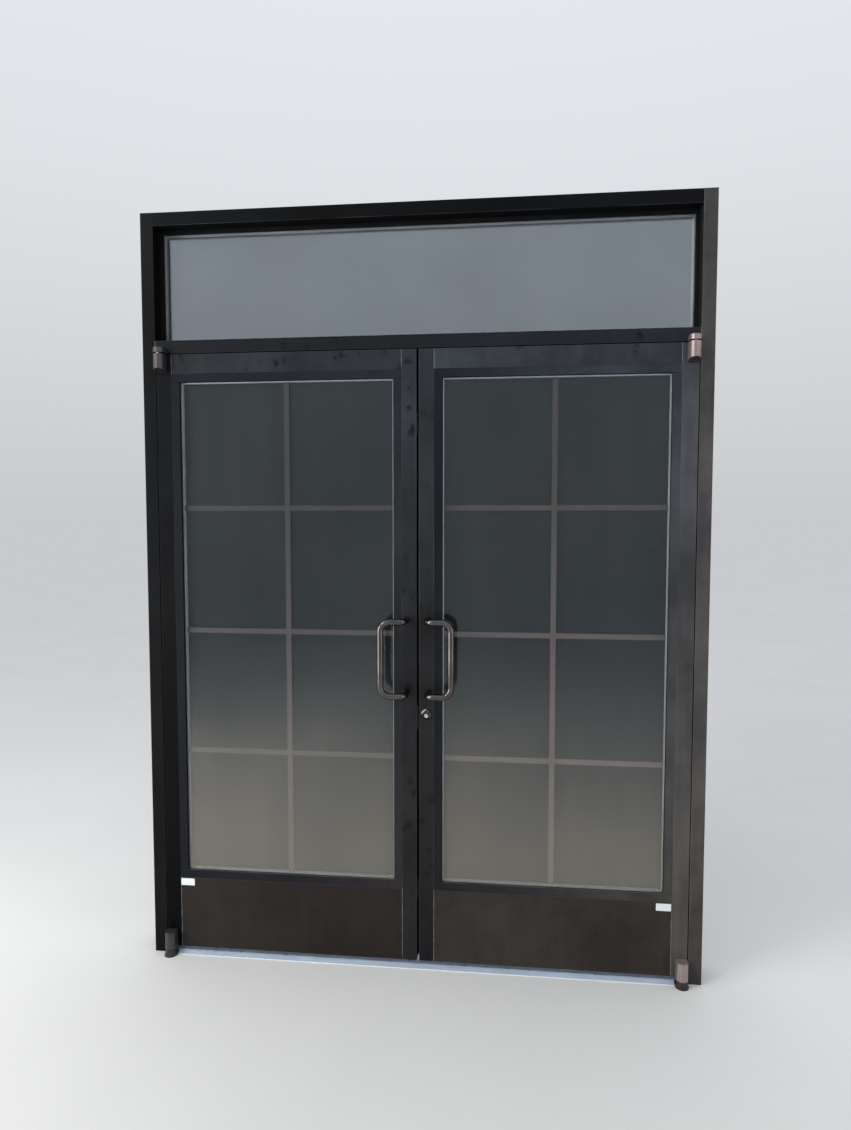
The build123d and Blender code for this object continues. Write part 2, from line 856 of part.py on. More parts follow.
def deadbolt():
    """The swinging bolt: upright in its case when unlocked, level across the gap when thrown."""
    with BuildPart() as bolt:
        with BuildSketch(Plane.XZ):
            with Locations((bolt_pivot_x, bolt_pivot_z)):
                Circle(bolt_width / 2)
            with Locations((bolt_pivot_x, bolt_pivot_z + bolt_reach / 2)):
                Rectangle(bolt_width, bolt_reach)
            with Locations((bolt_pivot_x, bolt_pivot_z)):
                Circle(bolt_reach, mode=Mode.INTERSECT)
                Circle(bolt_pin_radius + pin_clearance, mode=Mode.SUBTRACT)
        extrude(amount=bolt_thickness / 2, both=True)
    return bolt


def strike_plate():
    """The plate in the left leaf's edge, with the slot that the bolt swings into."""
    low, high = strike_z()
    half = case_plate_width / 2
    half_slot = bolt_thickness / 2 + 2 * bolt_side_fit
    edge = -meeting_edge_x
    with BuildPart() as plate:
        block((edge, -half, low), (edge - leaf_wall, half, high))
        block(
            (edge, -half_slot, bolt_slot_low),
            (edge - leaf_wall, half_slot, bolt_slot_high),
            mode=Mode.SUBTRACT,
        )
    return plate


# Flush bolts


def rod_tip_z(which):
    """The height of a flush bolt's tip when it is drawn back."""
    return leaf_top - flush_rod_inset if which == "top" else leaf_bottom + flush_rod_inset


def thumb_z(which):
    """The height of the middle of a flush bolt's thumb piece when it is drawn back."""
    inward = -1 if which == "top" else 1
    return rod_tip_z(which) + inward * (flush_rod_length - thumb_height / 2)


def flush_plate_z(which):
    """The height span of a flush bolt's edge plate, centred on the thumb piece's travel."""
    outward = 1 if which == "top" else -1
    middle = thumb_z(which) + outward * flush_throw / 2
    return (middle - flush_plate_height / 2, middle + flush_plate_height / 2)


def flush_bolt(which):
    """A rod inside the left meeting stile, with a thumb piece in the stile's edge."""
    tip = rod_tip_z(which)
    inward = -1 if which == "top" else 1
    middle = thumb_z(which)
    with BuildPart() as bolt:
        with BuildSketch(Plane(origin=(flush_x, 0, tip), z_dir=(0, 0, inward))):
            Circle(flush_rod_radius)
        extrude(amount=flush_rod_length)
        tip_face = bolt.faces().filter_by(Axis.Z).sort_by(Axis.Z)[-1 if which == "top" else 0]
        chamfer(tip_face.edges(), flush_rod_chamfer)
        block(
            (flush_x, -thumb_width / 2, middle - thumb_height / 2),
            (-meeting_edge_x - thumb_recess, thumb_width / 2, middle + thumb_height / 2),
        )
    return bolt


def flush_guides():
    """The end guides and edge plates of both flush bolts."""
    inner_half = leaf_thickness / 2 - leaf_wall
    inner_x = on_side(LEFT, (meeting_edge_x + leaf_wall, pocket_x[0] - leaf_wall))
    half_plate = flush_plate_width / 2
    half_slot = thumb_width / 2 + running_gap
    edge = -meeting_edge_x
    with BuildPart() as guides:
        for which, end, inward in (("top", leaf_top, -1), ("bottom", leaf_bottom, 1)):
            block((inner_x[0], -inner_half, end), (inner_x[1], inner_half, end + inward * flush_guide_height))
            drill((flush_x, 0, end), (0, 0, inward), flush_rod_radius + flush_guide_fit, flush_guide_height)
            low, high = flush_plate_z(which)
            block((edge, -half_plate, low), (edge - leaf_wall, half_plate, high))
            middle = (low + high) / 2
            half_run = (thumb_height + flush_throw) / 2 + running_gap
            block(
                (edge, -half_slot, middle - half_run),
                (edge - leaf_wall, half_slot, middle + half_run),
                mode=Mode.SUBTRACT,
            )
    return guides


# Seal between the leaves


def seal_y():
    """The span across the thickness of the seal, near the inside of the right leaf's edge."""
    high = back_y - seal_setback
    return (high - seal_width, high)


def meeting_seal():
    """The brush seal in the right leaf's edge, which reaches past the middle of the gap."""
    low, high = seal_y()
    with BuildPart() as seal:
        block((meeting_edge_x + seal_groove, low, leaf_bottom), (-seal_tip_past_middle, high, leaf_top))
    return seal


# Build and keep every piece

os.makedirs("parts", exist_ok=True)

for side, name in ((LEFT, "left"), (RIGHT, "right")):
    keep(jamb(side), f"{name}_jamb")
    keep(jamb_stop(side), f"{name}_jamb_stop")
    keep(top_bracket(side), f"{name}_top_bracket")
    keep(floor_pivot(side), f"{name}_floor_pivot")
keep(head(), "head")
keep(transom_bar(), "transom_bar")
keep(threshold(), "threshold")
keep(head_stop(), "door_head_stop")
keep(frame_weatherstrip(), "frame_weatherstrip")

transom_x = inset((-jamb_x, jamb_x), transom_edge_clearance)
transom_z = inset((bar_top, head_bottom), transom_edge_clearance)
transom_front = frame_stop_y + frame_stop_depth + gasket_thickness
transom_back = transom_front + unit_thickness
transom_mid = (transom_front + transom_back) / 2
keep(transom_stops(frame_stop_y), "transom_outer_stops")
keep(transom_stops(transom_back + gasket_thickness), "transom_inner_stops")
keep(pane(transom_x, transom_z, (transom_front, transom_front + pane_thickness)), "transom_outer_pane")
keep(pane(transom_x, transom_z, (transom_back - pane_thickness, transom_back)), "transom_inner_pane")
keep(spacer(transom_x, transom_z, transom_mid), "transom_spacer")
transom_bite = transom_stop_face - transom_edge_clearance
keep(gaskets(transom_x, transom_z, transom_mid, transom_bite, transom_edge_clearance), "transom_gaskets")

for side, name in ((LEFT, "left"), (RIGHT, "right")):
    keep(hinge_stile(side), f"{name}_hinge_stile")
    keep(meeting_stile(side), f"{name}_meeting_stile")
    keep(top_rail(side), f"{name}_top_rail")
    keep(bottom_rail(side), f"{name}_bottom_rail")
    keep(leaf_stops(side, OUTSIDE), f"{name}_outer_stops")
    keep(leaf_stops(side, INSIDE), f"{name}_inner_stops")
    glass_x = inset(on_side(side, pocket_x), glass_edge_clearance)
    glass_z = inset(pocket_z, glass_edge_clearance)
    half_unit = unit_thickness / 2
    keep(pane(glass_x, glass_z, (-half_unit, -half_unit + pane_thickness)), f"{name}_outer_pane")
    keep(pane(glass_x, glass_z, (half_unit - pane_thickness, half_unit)), f"{name}_inner_pane")
    keep(spacer(glass_x, glass_z, 0), f"{name}_spacer")
    keep(gaskets(glass_x, glass_z, 0, glass_bite, glass_edge_clearance), f"{name}_gaskets")
    light_x = inset(pocket_x, glass_edge_clearance + edge_seal + spacer_face)
    light_z = inset(pocket_z, glass_edge_clearance + edge_seal + spacer_face)
    keep(grille(side, light_x, light_z), f"{name}_grille")
    keep(leaf_pivot(side, "top"), f"{name}_top_pivot_arm")
    keep(leaf_pivot(side, "bottom"), f"{name}_bottom_pivot_arm")
    keep(pull(side, OUTSIDE), f"{name}_outside_pull")
    keep(pull(side, INSIDE), f"{name}_inside_pull")

keep(lock_case(), "lock_case")
keep(cylinder_housing(OUTSIDE), "lock_cylinder")
keep(key_plug(), "key_plug")
keep(cylinder_housing(INSIDE), "thumb_turn_cylinder")
keep(thumb_turn(), "thumb_turn")
keep(deadbolt(), "deadbolt")
keep(strike_plate(), "strike_plate")
keep(flush_bolt("top"), "top_flush_bolt")
keep(flush_bolt("bottom"), "bottom_flush_bolt")
keep(flush_guides(), "flush_bolt_guides")
keep(meeting_seal(), "meeting_seal")
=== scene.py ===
# %% [markdown]
# A glazed entrance: two leaves in a dark metal frame, with a fixed light over them.
#
# The construction comes in finished: every bar, pane, pivot and bolt is already at its real size and place.
# What is left to make here is what an eye or a camera adds to it: the finish of each surface, the small
# screws and blank plates, the floor, the light and the camera.

# %% Load the door
import math

import bmesh
import bpy
from mathutils import Matrix, Vector


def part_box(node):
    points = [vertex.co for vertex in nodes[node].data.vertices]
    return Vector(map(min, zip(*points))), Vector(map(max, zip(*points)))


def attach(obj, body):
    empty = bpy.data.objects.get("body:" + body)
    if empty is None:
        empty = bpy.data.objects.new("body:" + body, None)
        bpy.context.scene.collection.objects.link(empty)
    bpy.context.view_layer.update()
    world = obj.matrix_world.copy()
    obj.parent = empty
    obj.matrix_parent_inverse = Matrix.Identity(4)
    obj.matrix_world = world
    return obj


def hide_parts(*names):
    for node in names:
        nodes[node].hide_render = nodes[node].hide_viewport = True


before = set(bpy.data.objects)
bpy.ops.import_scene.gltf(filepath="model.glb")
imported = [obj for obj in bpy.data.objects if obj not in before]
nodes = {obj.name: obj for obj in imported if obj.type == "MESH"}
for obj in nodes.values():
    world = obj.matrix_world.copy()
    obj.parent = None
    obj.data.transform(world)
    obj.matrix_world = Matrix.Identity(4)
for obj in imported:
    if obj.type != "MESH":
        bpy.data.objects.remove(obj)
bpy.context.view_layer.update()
print("pieces in the frame:", len(nodes))

# %% [markdown]
# The camera stands where the photographer stood: a little to the right of the middle, at head height, and
# turned slightly to the left and down. One could place it by eye, but here its place and its lens were
# worked out from the edges of the door, so that a bar falls where it does in the photograph. The picture is
# taller than it is wide, so the sensor is fitted to the width, which keeps the lens the same for any height.

# %% Camera
IMAGE_WIDTH = 851
FOCAL_PIXELS = 775.5
SENSOR_MM = 36.0
CAMERA_PLACE = (0.3128, -2.6245, 1.5686)
CAMERA_DOWN = math.radians(3.49)
CAMERA_TURN = math.radians(6.28)

bpy.ops.object.camera_add(location=CAMERA_PLACE, rotation=(math.pi / 2 - CAMERA_DOWN, 0.0, CAMERA_TURN))
camera = bpy.context.active_object
camera.data.sensor_fit = "HORIZONTAL"
camera.data.sensor_width = SENSOR_MM
camera.data.lens = SENSOR_MM * FOCAL_PIXELS / IMAGE_WIDTH
bpy.context.scene.camera = camera
bpy.context.scene.view_settings.view_transform = "Standard"
print("lens in mm:", round(camera.data.lens, 2))

# %% [markdown]
# A plain pale floor carries the shadow that ties the door to the ground. A floor that ends near the object
# would show its edge, so this one is a sheet that runs on to the horizon. Its tone is a little uneven, like
# painted concrete, because a perfectly even floor looks like paper.

# %% Floor
FLOOR_SIZE = 80.0
FLOOR_CUTS = 7

bpy.ops.object.select_all(action="DESELECT")
bpy.ops.mesh.primitive_plane_add(size=FLOOR_SIZE, location=(0.0, 0.0, 0.0))
floor = bpy.context.active_object
floor.name = "floor"
bpy.ops.object.mode_set(mode="EDIT")
bpy.ops.mesh.select_all(action="SELECT")
bpy.ops.mesh.subdivide(number_cuts=FLOOR_CUTS)
bpy.ops.object.mode_set(mode="OBJECT")
print("floor faces:", len(floor.data.polygons))

# %% [markdown]
# The sky of the studio is a pale dome, brighter overhead than at its foot. A dome lights the object from
# everywhere, which is the softest light there is, and it is also what glass and metal mirror, so its slight
# gradient is what makes them look like glass and metal. The foot of the dome has the tone of the far floor,
# and so the horizon can hardly be seen.

# %% Sky dome
DOME_FOOT = (0.578, 0.594, 0.610)
DOME_MIDDLE = (0.74, 0.77, 0.80)
DOME_TOP = (0.92, 0.95, 1.0)
DOME_MIDDLE_AT = 0.40

world = bpy.data.worlds.new("studio")
bpy.context.scene.world = world
world.use_nodes = True
dome = world.node_tree
direction = dome.nodes.new("ShaderNodeTexCoord")
split = dome.nodes.new("ShaderNodeSeparateXYZ")
dome.links.new(direction.outputs["Generated"], split.inputs["Vector"])
fade = dome.nodes.new("ShaderNodeValToRGB")
fade.color_ramp.elements[0].color = (*DOME_FOOT, 1.0)
fade.color_ramp.elements[1].color = (*DOME_TOP, 1.0)
fade.color_ramp.elements.new(DOME_MIDDLE_AT).color = (*DOME_MIDDLE, 1.0)
dome.links.new(split.outputs["Z"], fade.inputs["Fac"])
dome.links.new(fade.outputs["Color"], dome.nodes["Background"].inputs["Color"])
dome.nodes["Background"].inputs["Strength"].default_value = 1.0
print("dome tones:", DOME_FOOT, DOME_MIDDLE, DOME_TOP)

# %% [markdown]
# One large lamp from the upper left front throws a soft shadow to the lower right, as the sun did. An
# upright bar can't mirror a lamp that hangs high: it mirrors what stands beside it. So a tall sheet of light
# hangs at each side, the left one broader and stronger, and draws a bright line down the pulls, the pivots
# and every rounded edge. None is small, because a small lamp would draw hard shadows, all hang clear of the
# floor, and all stand where the glass doesn't mirror them to the camera.

# %% Lamps
DOOR_MIDDLE = Vector((0.0, 0.0, 1.25))
LAMPS = (
    ("key_lamp", (-4.2, -3.9, 4.4), (1.6, 1.6), 90.0, (1.0, 0.97, 0.93)),
    ("left_strip", (-3.3, -1.9, 1.30), (1.5, 2.1), 80.0, (1.0, 0.98, 0.96)),
    ("right_strip", (3.5, -1.8, 1.30), (0.5, 2.1), 18.0, (0.95, 0.97, 1.0)),
)


def soft_lamp(name, stand, size, watts, colour):
    """A sheet of light, size wide and high, that looks at the middle of the door."""
    aim = (DOOR_MIDDLE - Vector(stand)).to_track_quat("-Z", "Y").to_euler()
    bpy.ops.object.light_add(type="AREA", location=stand, rotation=aim)
    lamp = bpy.context.active_object
    lamp.name = name
    lamp.data.shape = "RECTANGLE"
    lamp.data.size, lamp.data.size_y = size
    lamp.data.energy = watts
    lamp.data.color = colour


for lamp_row in LAMPS:
    soft_lamp(*lamp_row)
print("lamps:", len(LAMPS))

# %% [markdown]
# Each bottom rail carries a small plate near its hinge side. Such a plate names something on a real door;
# here it stays blank. It could be a bare rectangle, but light catches its rounded corners and raised rim,
# so a flat block is bevelled through its thickness and its face is inset and sunk by a tenth of a
# millimetre. Faces and edges are picked by their place or by the way they look, where nine tenths of the way
# is near enough.

# %% Blank plates on the bottom rails
LEAF_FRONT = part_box("left_bottom_rail")[0].y
PLATE_WIDTH = 0.050
PLATE_HEIGHT = 0.0255
PLATE_THICKNESS = 0.0005
PLATE_CORNER = 0.0026
PLATE_CORNER_STEPS = 6
PLATE_RIM = 0.0010
PLATE_SINK = PLATE_THICKNESS / 5
LEFT_PLATE_AT = (-0.8565, 0.2505)
RIGHT_PLATE_AT = (0.8055, 0.2495)
NEARLY = 0.9


def select_only(piece, kind, wanted):
    """In edit mode, select the faces or edges for which wanted is true, and nothing else."""
    bpy.ops.mesh.select_mode(type=kind)
    bpy.ops.mesh.select_all(action="DESELECT")
    mesh = bmesh.from_edit_mesh(piece.data)
    for element in mesh.faces if kind == "FACE" else mesh.edges:
        element.select_set(wanted(element))
    bmesh.update_edit_mesh(piece.data)


def start_block(name, middle, size):
    """A block at its place and size, open in edit mode, its object at the origin."""
    bpy.ops.object.select_all(action="DESELECT")
    bpy.ops.mesh.primitive_cube_add(size=1.0, location=middle, scale=size)
    block = bpy.context.active_object
    block.name = name
    bpy.ops.object.transform_apply(location=True, rotation=True, scale=True)
    bpy.ops.object.mode_set(mode="EDIT")
    return block


def blank_plate(name, low_x, low_z, body):
    """A thin plate on a bottom rail, its lower left corner at low_x and low_z."""
    middle = (low_x + PLATE_WIDTH / 2, LEAF_FRONT - PLATE_THICKNESS / 2, low_z + PLATE_HEIGHT / 2)
    plate = start_block(name, middle, (PLATE_WIDTH, PLATE_THICKNESS, PLATE_HEIGHT))
    through = NEARLY * PLATE_THICKNESS
    select_only(plate, "EDGE", lambda e: abs(e.verts[0].co.y - e.verts[1].co.y) > through)
    bpy.ops.mesh.bevel(offset=PLATE_CORNER, segments=PLATE_CORNER_STEPS, affect="EDGES")
    select_only(plate, "FACE", lambda f: f.normal.y < -NEARLY)
    bpy.ops.mesh.inset(thickness=PLATE_RIM, depth=0.0)
    bpy.ops.transform.translate(value=(0.0, PLATE_SINK, 0.0))
    bpy.ops.object.mode_set(mode="OBJECT")
    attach(plate, body)
    return plate


left_plate = blank_plate("left_blank_plate", *LEFT_PLATE_AT, "left_leaf")
right_plate = blank_plate("right_blank_plate", *RIGHT_PLATE_AT, "right_leaf")
print("plate faces:", len(left_plate.data.polygons), len(right_plate.data.polygons))

# %% [markdown]
# Four flat-headed screws hold the threshold to the floor. A disc is the start: its lower face is extruded
# down and narrowed to a cone, then again to the shank, as one would turn it on a lathe. The cross in the
# head is cut with a second shape, a small cross grown from one cube by pulling out its four sides.

# %% A screw with a cross in its head
CROSS_HALF = 0.00062
CROSS_REACH = 0.0017
CROSS_DEPTH = 0.0014
HEAD_RADIUS = 0.0047
HEAD_RIM = 0.0002
HEAD_SIDES = 32
HEAD_INSET = 0.3
CONE_DROP = 0.0022
CONE_NARROWING = 0.51
SHANK_LENGTH = 0.0092
SAME_HEIGHT = 1e-6
SMOOTH_BELOW = math.radians(35)


def cross_cutter(scale):
    """A cross centred on the top of the head, to be cut out of it."""
    width = 2 * CROSS_HALF * scale
    cutter = start_block("cross_cutter", (0.0, 0.0, 0.0), (width, width, 2 * CROSS_DEPTH * scale))
    for axis in (0, 1):
        for sign in (1, -1):
            def on_side(face):
                return sign * face.normal[axis] > NEARLY and abs(face.calc_center_median()[axis]) < width
            select_only(cutter, "FACE", on_side)
            pull = [0.0, 0.0, 0.0]
            pull[axis] = sign * CROSS_REACH * scale
            bpy.ops.mesh.extrude_region_move(TRANSFORM_OT_translate={"value": pull})
    bpy.ops.object.mode_set(mode="OBJECT")
    return cutter


def lower_face_down(piece, drop, narrowing):
    """Extrude the lowest face down by drop and narrow it about the screw's own line."""
    lowest = min(v.co.z for v in bmesh.from_edit_mesh(piece.data).verts)
    bottom = lowest + SAME_HEIGHT
    select_only(piece, "FACE", lambda f: f.normal.z < -NEARLY and f.calc_center_median().z < bottom)
    bpy.ops.mesh.extrude_region_move(TRANSFORM_OT_translate={"value": (0.0, 0.0, -drop)})
    bpy.ops.transform.resize(value=(narrowing, narrowing, 1.0), center_override=(0.0, 0.0, lowest - drop))


def turned_head(name, radius, rim, crown):
    """A disc with its top at the origin, its middle raised by crown. It is left open in edit mode."""
    bpy.ops.object.select_all(action="DESELECT")
    middle = (0.0, 0.0, -rim / 2)
    bpy.ops.mesh.primitive_cylinder_add(vertices=HEAD_SIDES, radius=radius, depth=rim, location=middle)
    head = bpy.context.active_object
    head.name = name
    bpy.ops.object.transform_apply(location=True, rotation=True, scale=True)
    bpy.ops.object.mode_set(mode="EDIT")
    select_only(head, "FACE", lambda f: f.normal.z > NEARLY)
    bpy.ops.mesh.inset(thickness=HEAD_INSET * radius, depth=0.0)
    bpy.ops.transform.translate(value=(0.0, 0.0, crown))
    return head


def cut_cross(screw, scale, crown):
    """Cut the cross out of the top of a head and round its shading."""
    cutter = cross_cutter(scale)
    cutter.data.transform(Matrix.Translation((0.0, 0.0, crown)))
    bpy.ops.object.select_all(action="DESELECT")
    bpy.context.view_layer.objects.active = screw
    screw.select_set(True)
    cut = screw.modifiers.new("cross", "BOOLEAN")
    cut.operation = "DIFFERENCE"
    cut.solver = "EXACT"
    cut.object = cutter
    bpy.ops.object.modifier_apply(modifier=cut.name)
    bpy.data.objects.remove(cutter)
    bpy.ops.object.shade_smooth_by_angle(angle=SMOOTH_BELOW)


threshold_screw = turned_head("threshold_screw_1", HEAD_RADIUS, HEAD_RIM, 0.0)
lower_face_down(threshold_screw, CONE_DROP, CONE_NARROWING)
lower_face_down(threshold_screw, SHANK_LENGTH, 1.0)
bpy.ops.object.mode_set(mode="OBJECT")
cut_cross(threshold_screw, 1.0, 0.0)
print("screw faces:", len(threshold_screw.data.polygons))

# %% [markdown]
# The same screw stands in all four holes, so it is made once and copied. Each copy gets a mesh of its own,
# because its place is kept in the mesh and the object stays at the origin.

# %% Screws in the threshold
THRESHOLD_LOW, THRESHOLD_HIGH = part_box("threshold")
HOLE_Y = (THRESHOLD_LOW.y + THRESHOLD_HIGH.y) / 2
HOLE_XS = (-0.75, -0.25, 0.25, 0.75)
HEAD_BELOW_TOP = 0.0003
FIRST_TURN = 0.5
NEXT_TURN = 1.1


def copy_of(piece, name):
    """A copy of a finished piece with its own mesh."""
    twin = bpy.data.objects.new(name, piece.data.copy())
    bpy.context.scene.collection.objects.link(twin)
    return twin


threshold_screws = [threshold_screw]
for number in range(2, len(HOLE_XS) + 1):
    threshold_screws.append(copy_of(threshold_screw, f"threshold_screw_{number}"))
for number, (screw, hole_x) in enumerate(zip(threshold_screws, HOLE_XS)):
    turned = Matrix.Rotation(FIRST_TURN + NEXT_TURN * number, 4, "Z")
    seat = Matrix.Translation((hole_x, HOLE_Y, THRESHOLD_HIGH.z - HEAD_BELOW_TOP))
    screw.data.transform(seat @ turned)
    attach(screw, "frame")
print("threshold screws:", len(threshold_screws))

# %% [markdown]
# The lock's face plate, the strike and the two flush bolt plates are held by small raised heads, which show
# when a leaf stands open. They are the same turned shape without a shank, seated on the plate, and turned
# onto their side to look out of the leaf's edge.

# %% Screws on the edge plates
EDGE_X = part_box("lock_case")[0].x
LOCK_LOW_Z, LOCK_HIGH_Z = [corner.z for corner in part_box("lock_case")]
STRIKE_LOW_Z, STRIKE_HIGH_Z = [corner.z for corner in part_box("strike_plate")]
SCREW_INSET = 0.0068
FLUSH_PLATE_MIDDLES = (0.2714, 1.8844)
FLUSH_SCREW_REACH = 0.029
EDGE_RADIUS = 0.0034
EDGE_RIM = 0.0004
EDGE_CROWN = 0.0004
EDGE_FIRST_TURN = 0.4
EDGE_NEXT_TURN = 0.7

edge_screw = turned_head("edge_screw", EDGE_RADIUS, EDGE_RIM, EDGE_CROWN)
bpy.ops.object.mode_set(mode="OBJECT")
cut_cross(edge_screw, EDGE_RADIUS / HEAD_RADIUS, EDGE_CROWN)
edge_screws = []


def seat_on_edge(name, z, side, body):
    """A copy of the head on a leaf's edge, on the side that looks across the gap."""
    head = copy_of(edge_screw, name)
    turned = Matrix.Rotation(EDGE_FIRST_TURN + EDGE_NEXT_TURN * len(edge_screws), 4, "Z")
    lying = Matrix.Rotation(-side * math.pi / 2, 4, "Y")
    seat = Matrix.Translation((side * (EDGE_X - EDGE_RIM), 0.0, z))
    head.data.transform(seat @ lying @ turned)
    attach(head, body)
    edge_screws.append(head)


def screw_pair(name, low_z, high_z, side, body):
    """A screw near each end of an edge plate."""
    seat_on_edge(name + "_low", low_z, side, body)
    seat_on_edge(name + "_high", high_z, side, body)


screw_pair("lock_screw", LOCK_LOW_Z + SCREW_INSET, LOCK_HIGH_Z - SCREW_INSET, 1, "right_leaf")
screw_pair("strike_screw", STRIKE_LOW_Z + SCREW_INSET, STRIKE_HIGH_Z - SCREW_INSET, -1, "left_leaf")
for which, middle in zip(("bottom", "top"), FLUSH_PLATE_MIDDLES):
    low_z = middle - FLUSH_SCREW_REACH
    high_z = middle + FLUSH_SCREW_REACH
    screw_pair(which + "_flush_screw", low_z, high_z, -1, "left_leaf")
bpy.data.objects.remove(edge_screw)
print("edge screws:", len(edge_screws))

# %% [markdown]
# The gap between the leaves is closed by a brush: a backing strip in a groove of the right leaf, and a pile
# of short fibres that touches the other leaf. The strip that came in stops short of the other leaf, because
# a rigid one would strike it. So it is replaced by a strip whose pile is drawn out of its face, cut into
# rows of tufts along its length, and made uneven at the tips.

# %% Brush between the leaves
SEAL_LOW, SEAL_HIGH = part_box("meeting_seal")
LEFT_EDGE_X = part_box("left_meeting_stile")[1].x
RIGHT_EDGE_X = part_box("right_meeting_stile")[0].x
TIP_CLEARANCE = 0.0004
PILE_INSET = 0.0005
PILE_STEPS = (0.4, 0.6)
TUFT_ROWS = 420
LONG_EDGE = 1.0
TIP_SCATTER = 0.00035

backing_middle = ((RIGHT_EDGE_X + SEAL_HIGH.x) / 2, *((SEAL_LOW + SEAL_HIGH) / 2).yz)
backing_size = (SEAL_HIGH.x - RIGHT_EDGE_X, *(SEAL_HIGH - SEAL_LOW).yz)
brush = start_block("meeting_brush", backing_middle, backing_size)
pile_reach = RIGHT_EDGE_X - LEFT_EDGE_X - TIP_CLEARANCE
select_only(brush, "FACE", lambda f: f.normal.x < -NEARLY)
bpy.ops.mesh.inset(thickness=PILE_INSET, depth=0.0)
for share in PILE_STEPS:
    bpy.ops.mesh.extrude_region_move(TRANSFORM_OT_translate={"value": (-share * pile_reach, 0.0, 0.0)})
select_only(brush, "EDGE", lambda e: abs(e.verts[0].co.z - e.verts[1].co.z) > LONG_EDGE)
bpy.ops.mesh.subdivide(number_cuts=TUFT_ROWS)
tips_begin = RIGHT_EDGE_X - NEARLY * pile_reach
select_only(brush, "EDGE", lambda e: max(v.co.x for v in e.verts) < tips_begin)
bpy.ops.transform.vertex_random(offset=TIP_SCATTER, uniform=1.0, normal=0.0, seed=5)
bpy.ops.object.mode_set(mode="OBJECT")
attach(brush, "right_leaf")
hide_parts("meeting_seal")
print("brush faces:", len(brush.data.polygons), "pile in mm:", round(1000 * pile_reach, 2))

# %% [markdown]
# Now the finishes. A finish here is a small network of nodes rather than a picture, so it has no seams and
# no limit of sharpness. Every pattern is counted in metres on the object's own coordinates, and so it stays
# on the piece when a leaf swings. The first helpers start a material, give the place of a point, make noise
# of a real size, and turn it into tones.

# %% Helpers: a point, noise and tones
dressed = set()


def new_material(name):
    """A material with one Principled shader, ready for its sockets."""
    material = bpy.data.materials.new(name)
    material.use_nodes = True
    return material, material.node_tree, material.node_tree.nodes["Principled BSDF"]


def place(tree, stretch=(1.0, 1.0, 1.0), shift=(0.0, 0.0, 0.0)):
    """The point on the object in metres, squeezed along an axis where streaks run along it."""
    point = tree.nodes.new("ShaderNodeTexCoord")
    mapping = tree.nodes.new("ShaderNodeMapping")
    mapping.inputs["Scale"].default_value = stretch
    mapping.inputs["Location"].default_value = shift
    tree.links.new(point.outputs["Object"], mapping.inputs["Vector"])
    return mapping.outputs["Vector"]


def noise(tree, vector, per_metre, detail=4.0, roughness=0.6):
    """Noise with a given number of waves in a metre."""
    node = tree.nodes.new("ShaderNodeTexNoise")
    node.inputs["Scale"].default_value = per_metre
    node.inputs["Detail"].default_value = detail
    node.inputs["Roughness"].default_value = roughness
    tree.links.new(vector, node.inputs["Vector"])
    return node.outputs["Fac"]


def ramp(tree, factor, stops):
    """Turn a factor into a grey or a colour, given as (position, value) pairs."""
    node = tree.nodes.new("ShaderNodeValToRGB")
    elements = node.color_ramp.elements
    while len(elements) < len(stops):
        elements.new(0.5)
    for element, (position, value) in zip(elements, stops):
        element.position = position
        colour = value if isinstance(value, tuple) else (value, value, value)
        element.color = (*colour, 1.0)
    tree.links.new(factor, node.inputs["Fac"])
    return node.outputs["Color"]


def between(tree, factor, start, end, values):
    """The first value up to start, the second from end on, and even between them."""
    return ramp(tree, factor, [(start, values[0]), (end, values[1])])


def blend(tree, factor, first, second, way="MIX"):
    """Mix two colours by a factor; a plain tuple may stand for either colour."""
    node = tree.nodes.new("ShaderNodeMix")
    node.data_type = "RGBA"
    node.blend_type = way
    if isinstance(factor, float):
        node.inputs["Factor"].default_value = factor
    else:
        tree.links.new(factor, node.inputs["Factor"])
    for name, value in (("A", first), ("B", second)):
        socket = [s for s in node.inputs if s.name == name and s.type == "RGBA"][0]
        if isinstance(value, tuple):
            socket.default_value = (*value, 1.0)
        else:
            tree.links.new(value, socket)
    return [s for s in node.outputs if s.type == "RGBA"][0]


def relief(tree, shader, height, metres, strength=1.0):
    """Relief from a height between nought and one, given its depth in metres."""
    node = tree.nodes.new("ShaderNodeBump")
    node.inputs["Distance"].default_value = metres
    node.inputs["Strength"].default_value = strength
    tree.links.new(height, node.inputs["Height"])
    tree.links.new(node.outputs["Normal"], shader.inputs["Normal"])


def wire(tree, shader, colour, roughness):
    """Wire a colour and a roughness to the shader."""
    tree.links.new(colour, shader.inputs["Base Color"])
    tree.links.new(roughness, shader.inputs["Roughness"])


def dress(material, *names):
    """Give a material to pieces of the frame, in place of what they came with."""
    dressed.update(names)
    for name in names:
        nodes[name].data.materials.clear()
        nodes[name].data.materials.append(material)


print("helpers made: new_material, place, noise, ramp, between, blend, relief, wire, dress")

# %% [markdown]
# The floor's tone first, as the simplest finish: one soft noise between two near greys, and a dull surface.

# %% Floor finish
FLOOR_TONES = ((0.685, 0.680, 0.670), (0.715, 0.710, 0.700))

floor_paint, tree, shader = new_material("floor_paint")
cloud = noise(tree, place(tree), per_metre=1.1)
floor_tone = between(tree, cloud, 0.3, 0.7, FLOOR_TONES)
tree.links.new(floor_tone, shader.inputs["Base Color"])
shader.inputs["Roughness"].default_value = 0.9
shader.inputs["Specular IOR Level"].default_value = 0.1
floor.data.materials.append(floor_paint)
print("floor finish:", floor_paint.name)

# %% [markdown]
# Some marks follow a piece's shape instead of noise: the rubbed long edges of a bar, the saw-cut ends of a
# rail, the dust that grows browner towards the ground. They come from the point's own coordinate. A band is
# one near both ends of a piece's span along an axis, and nought between them.

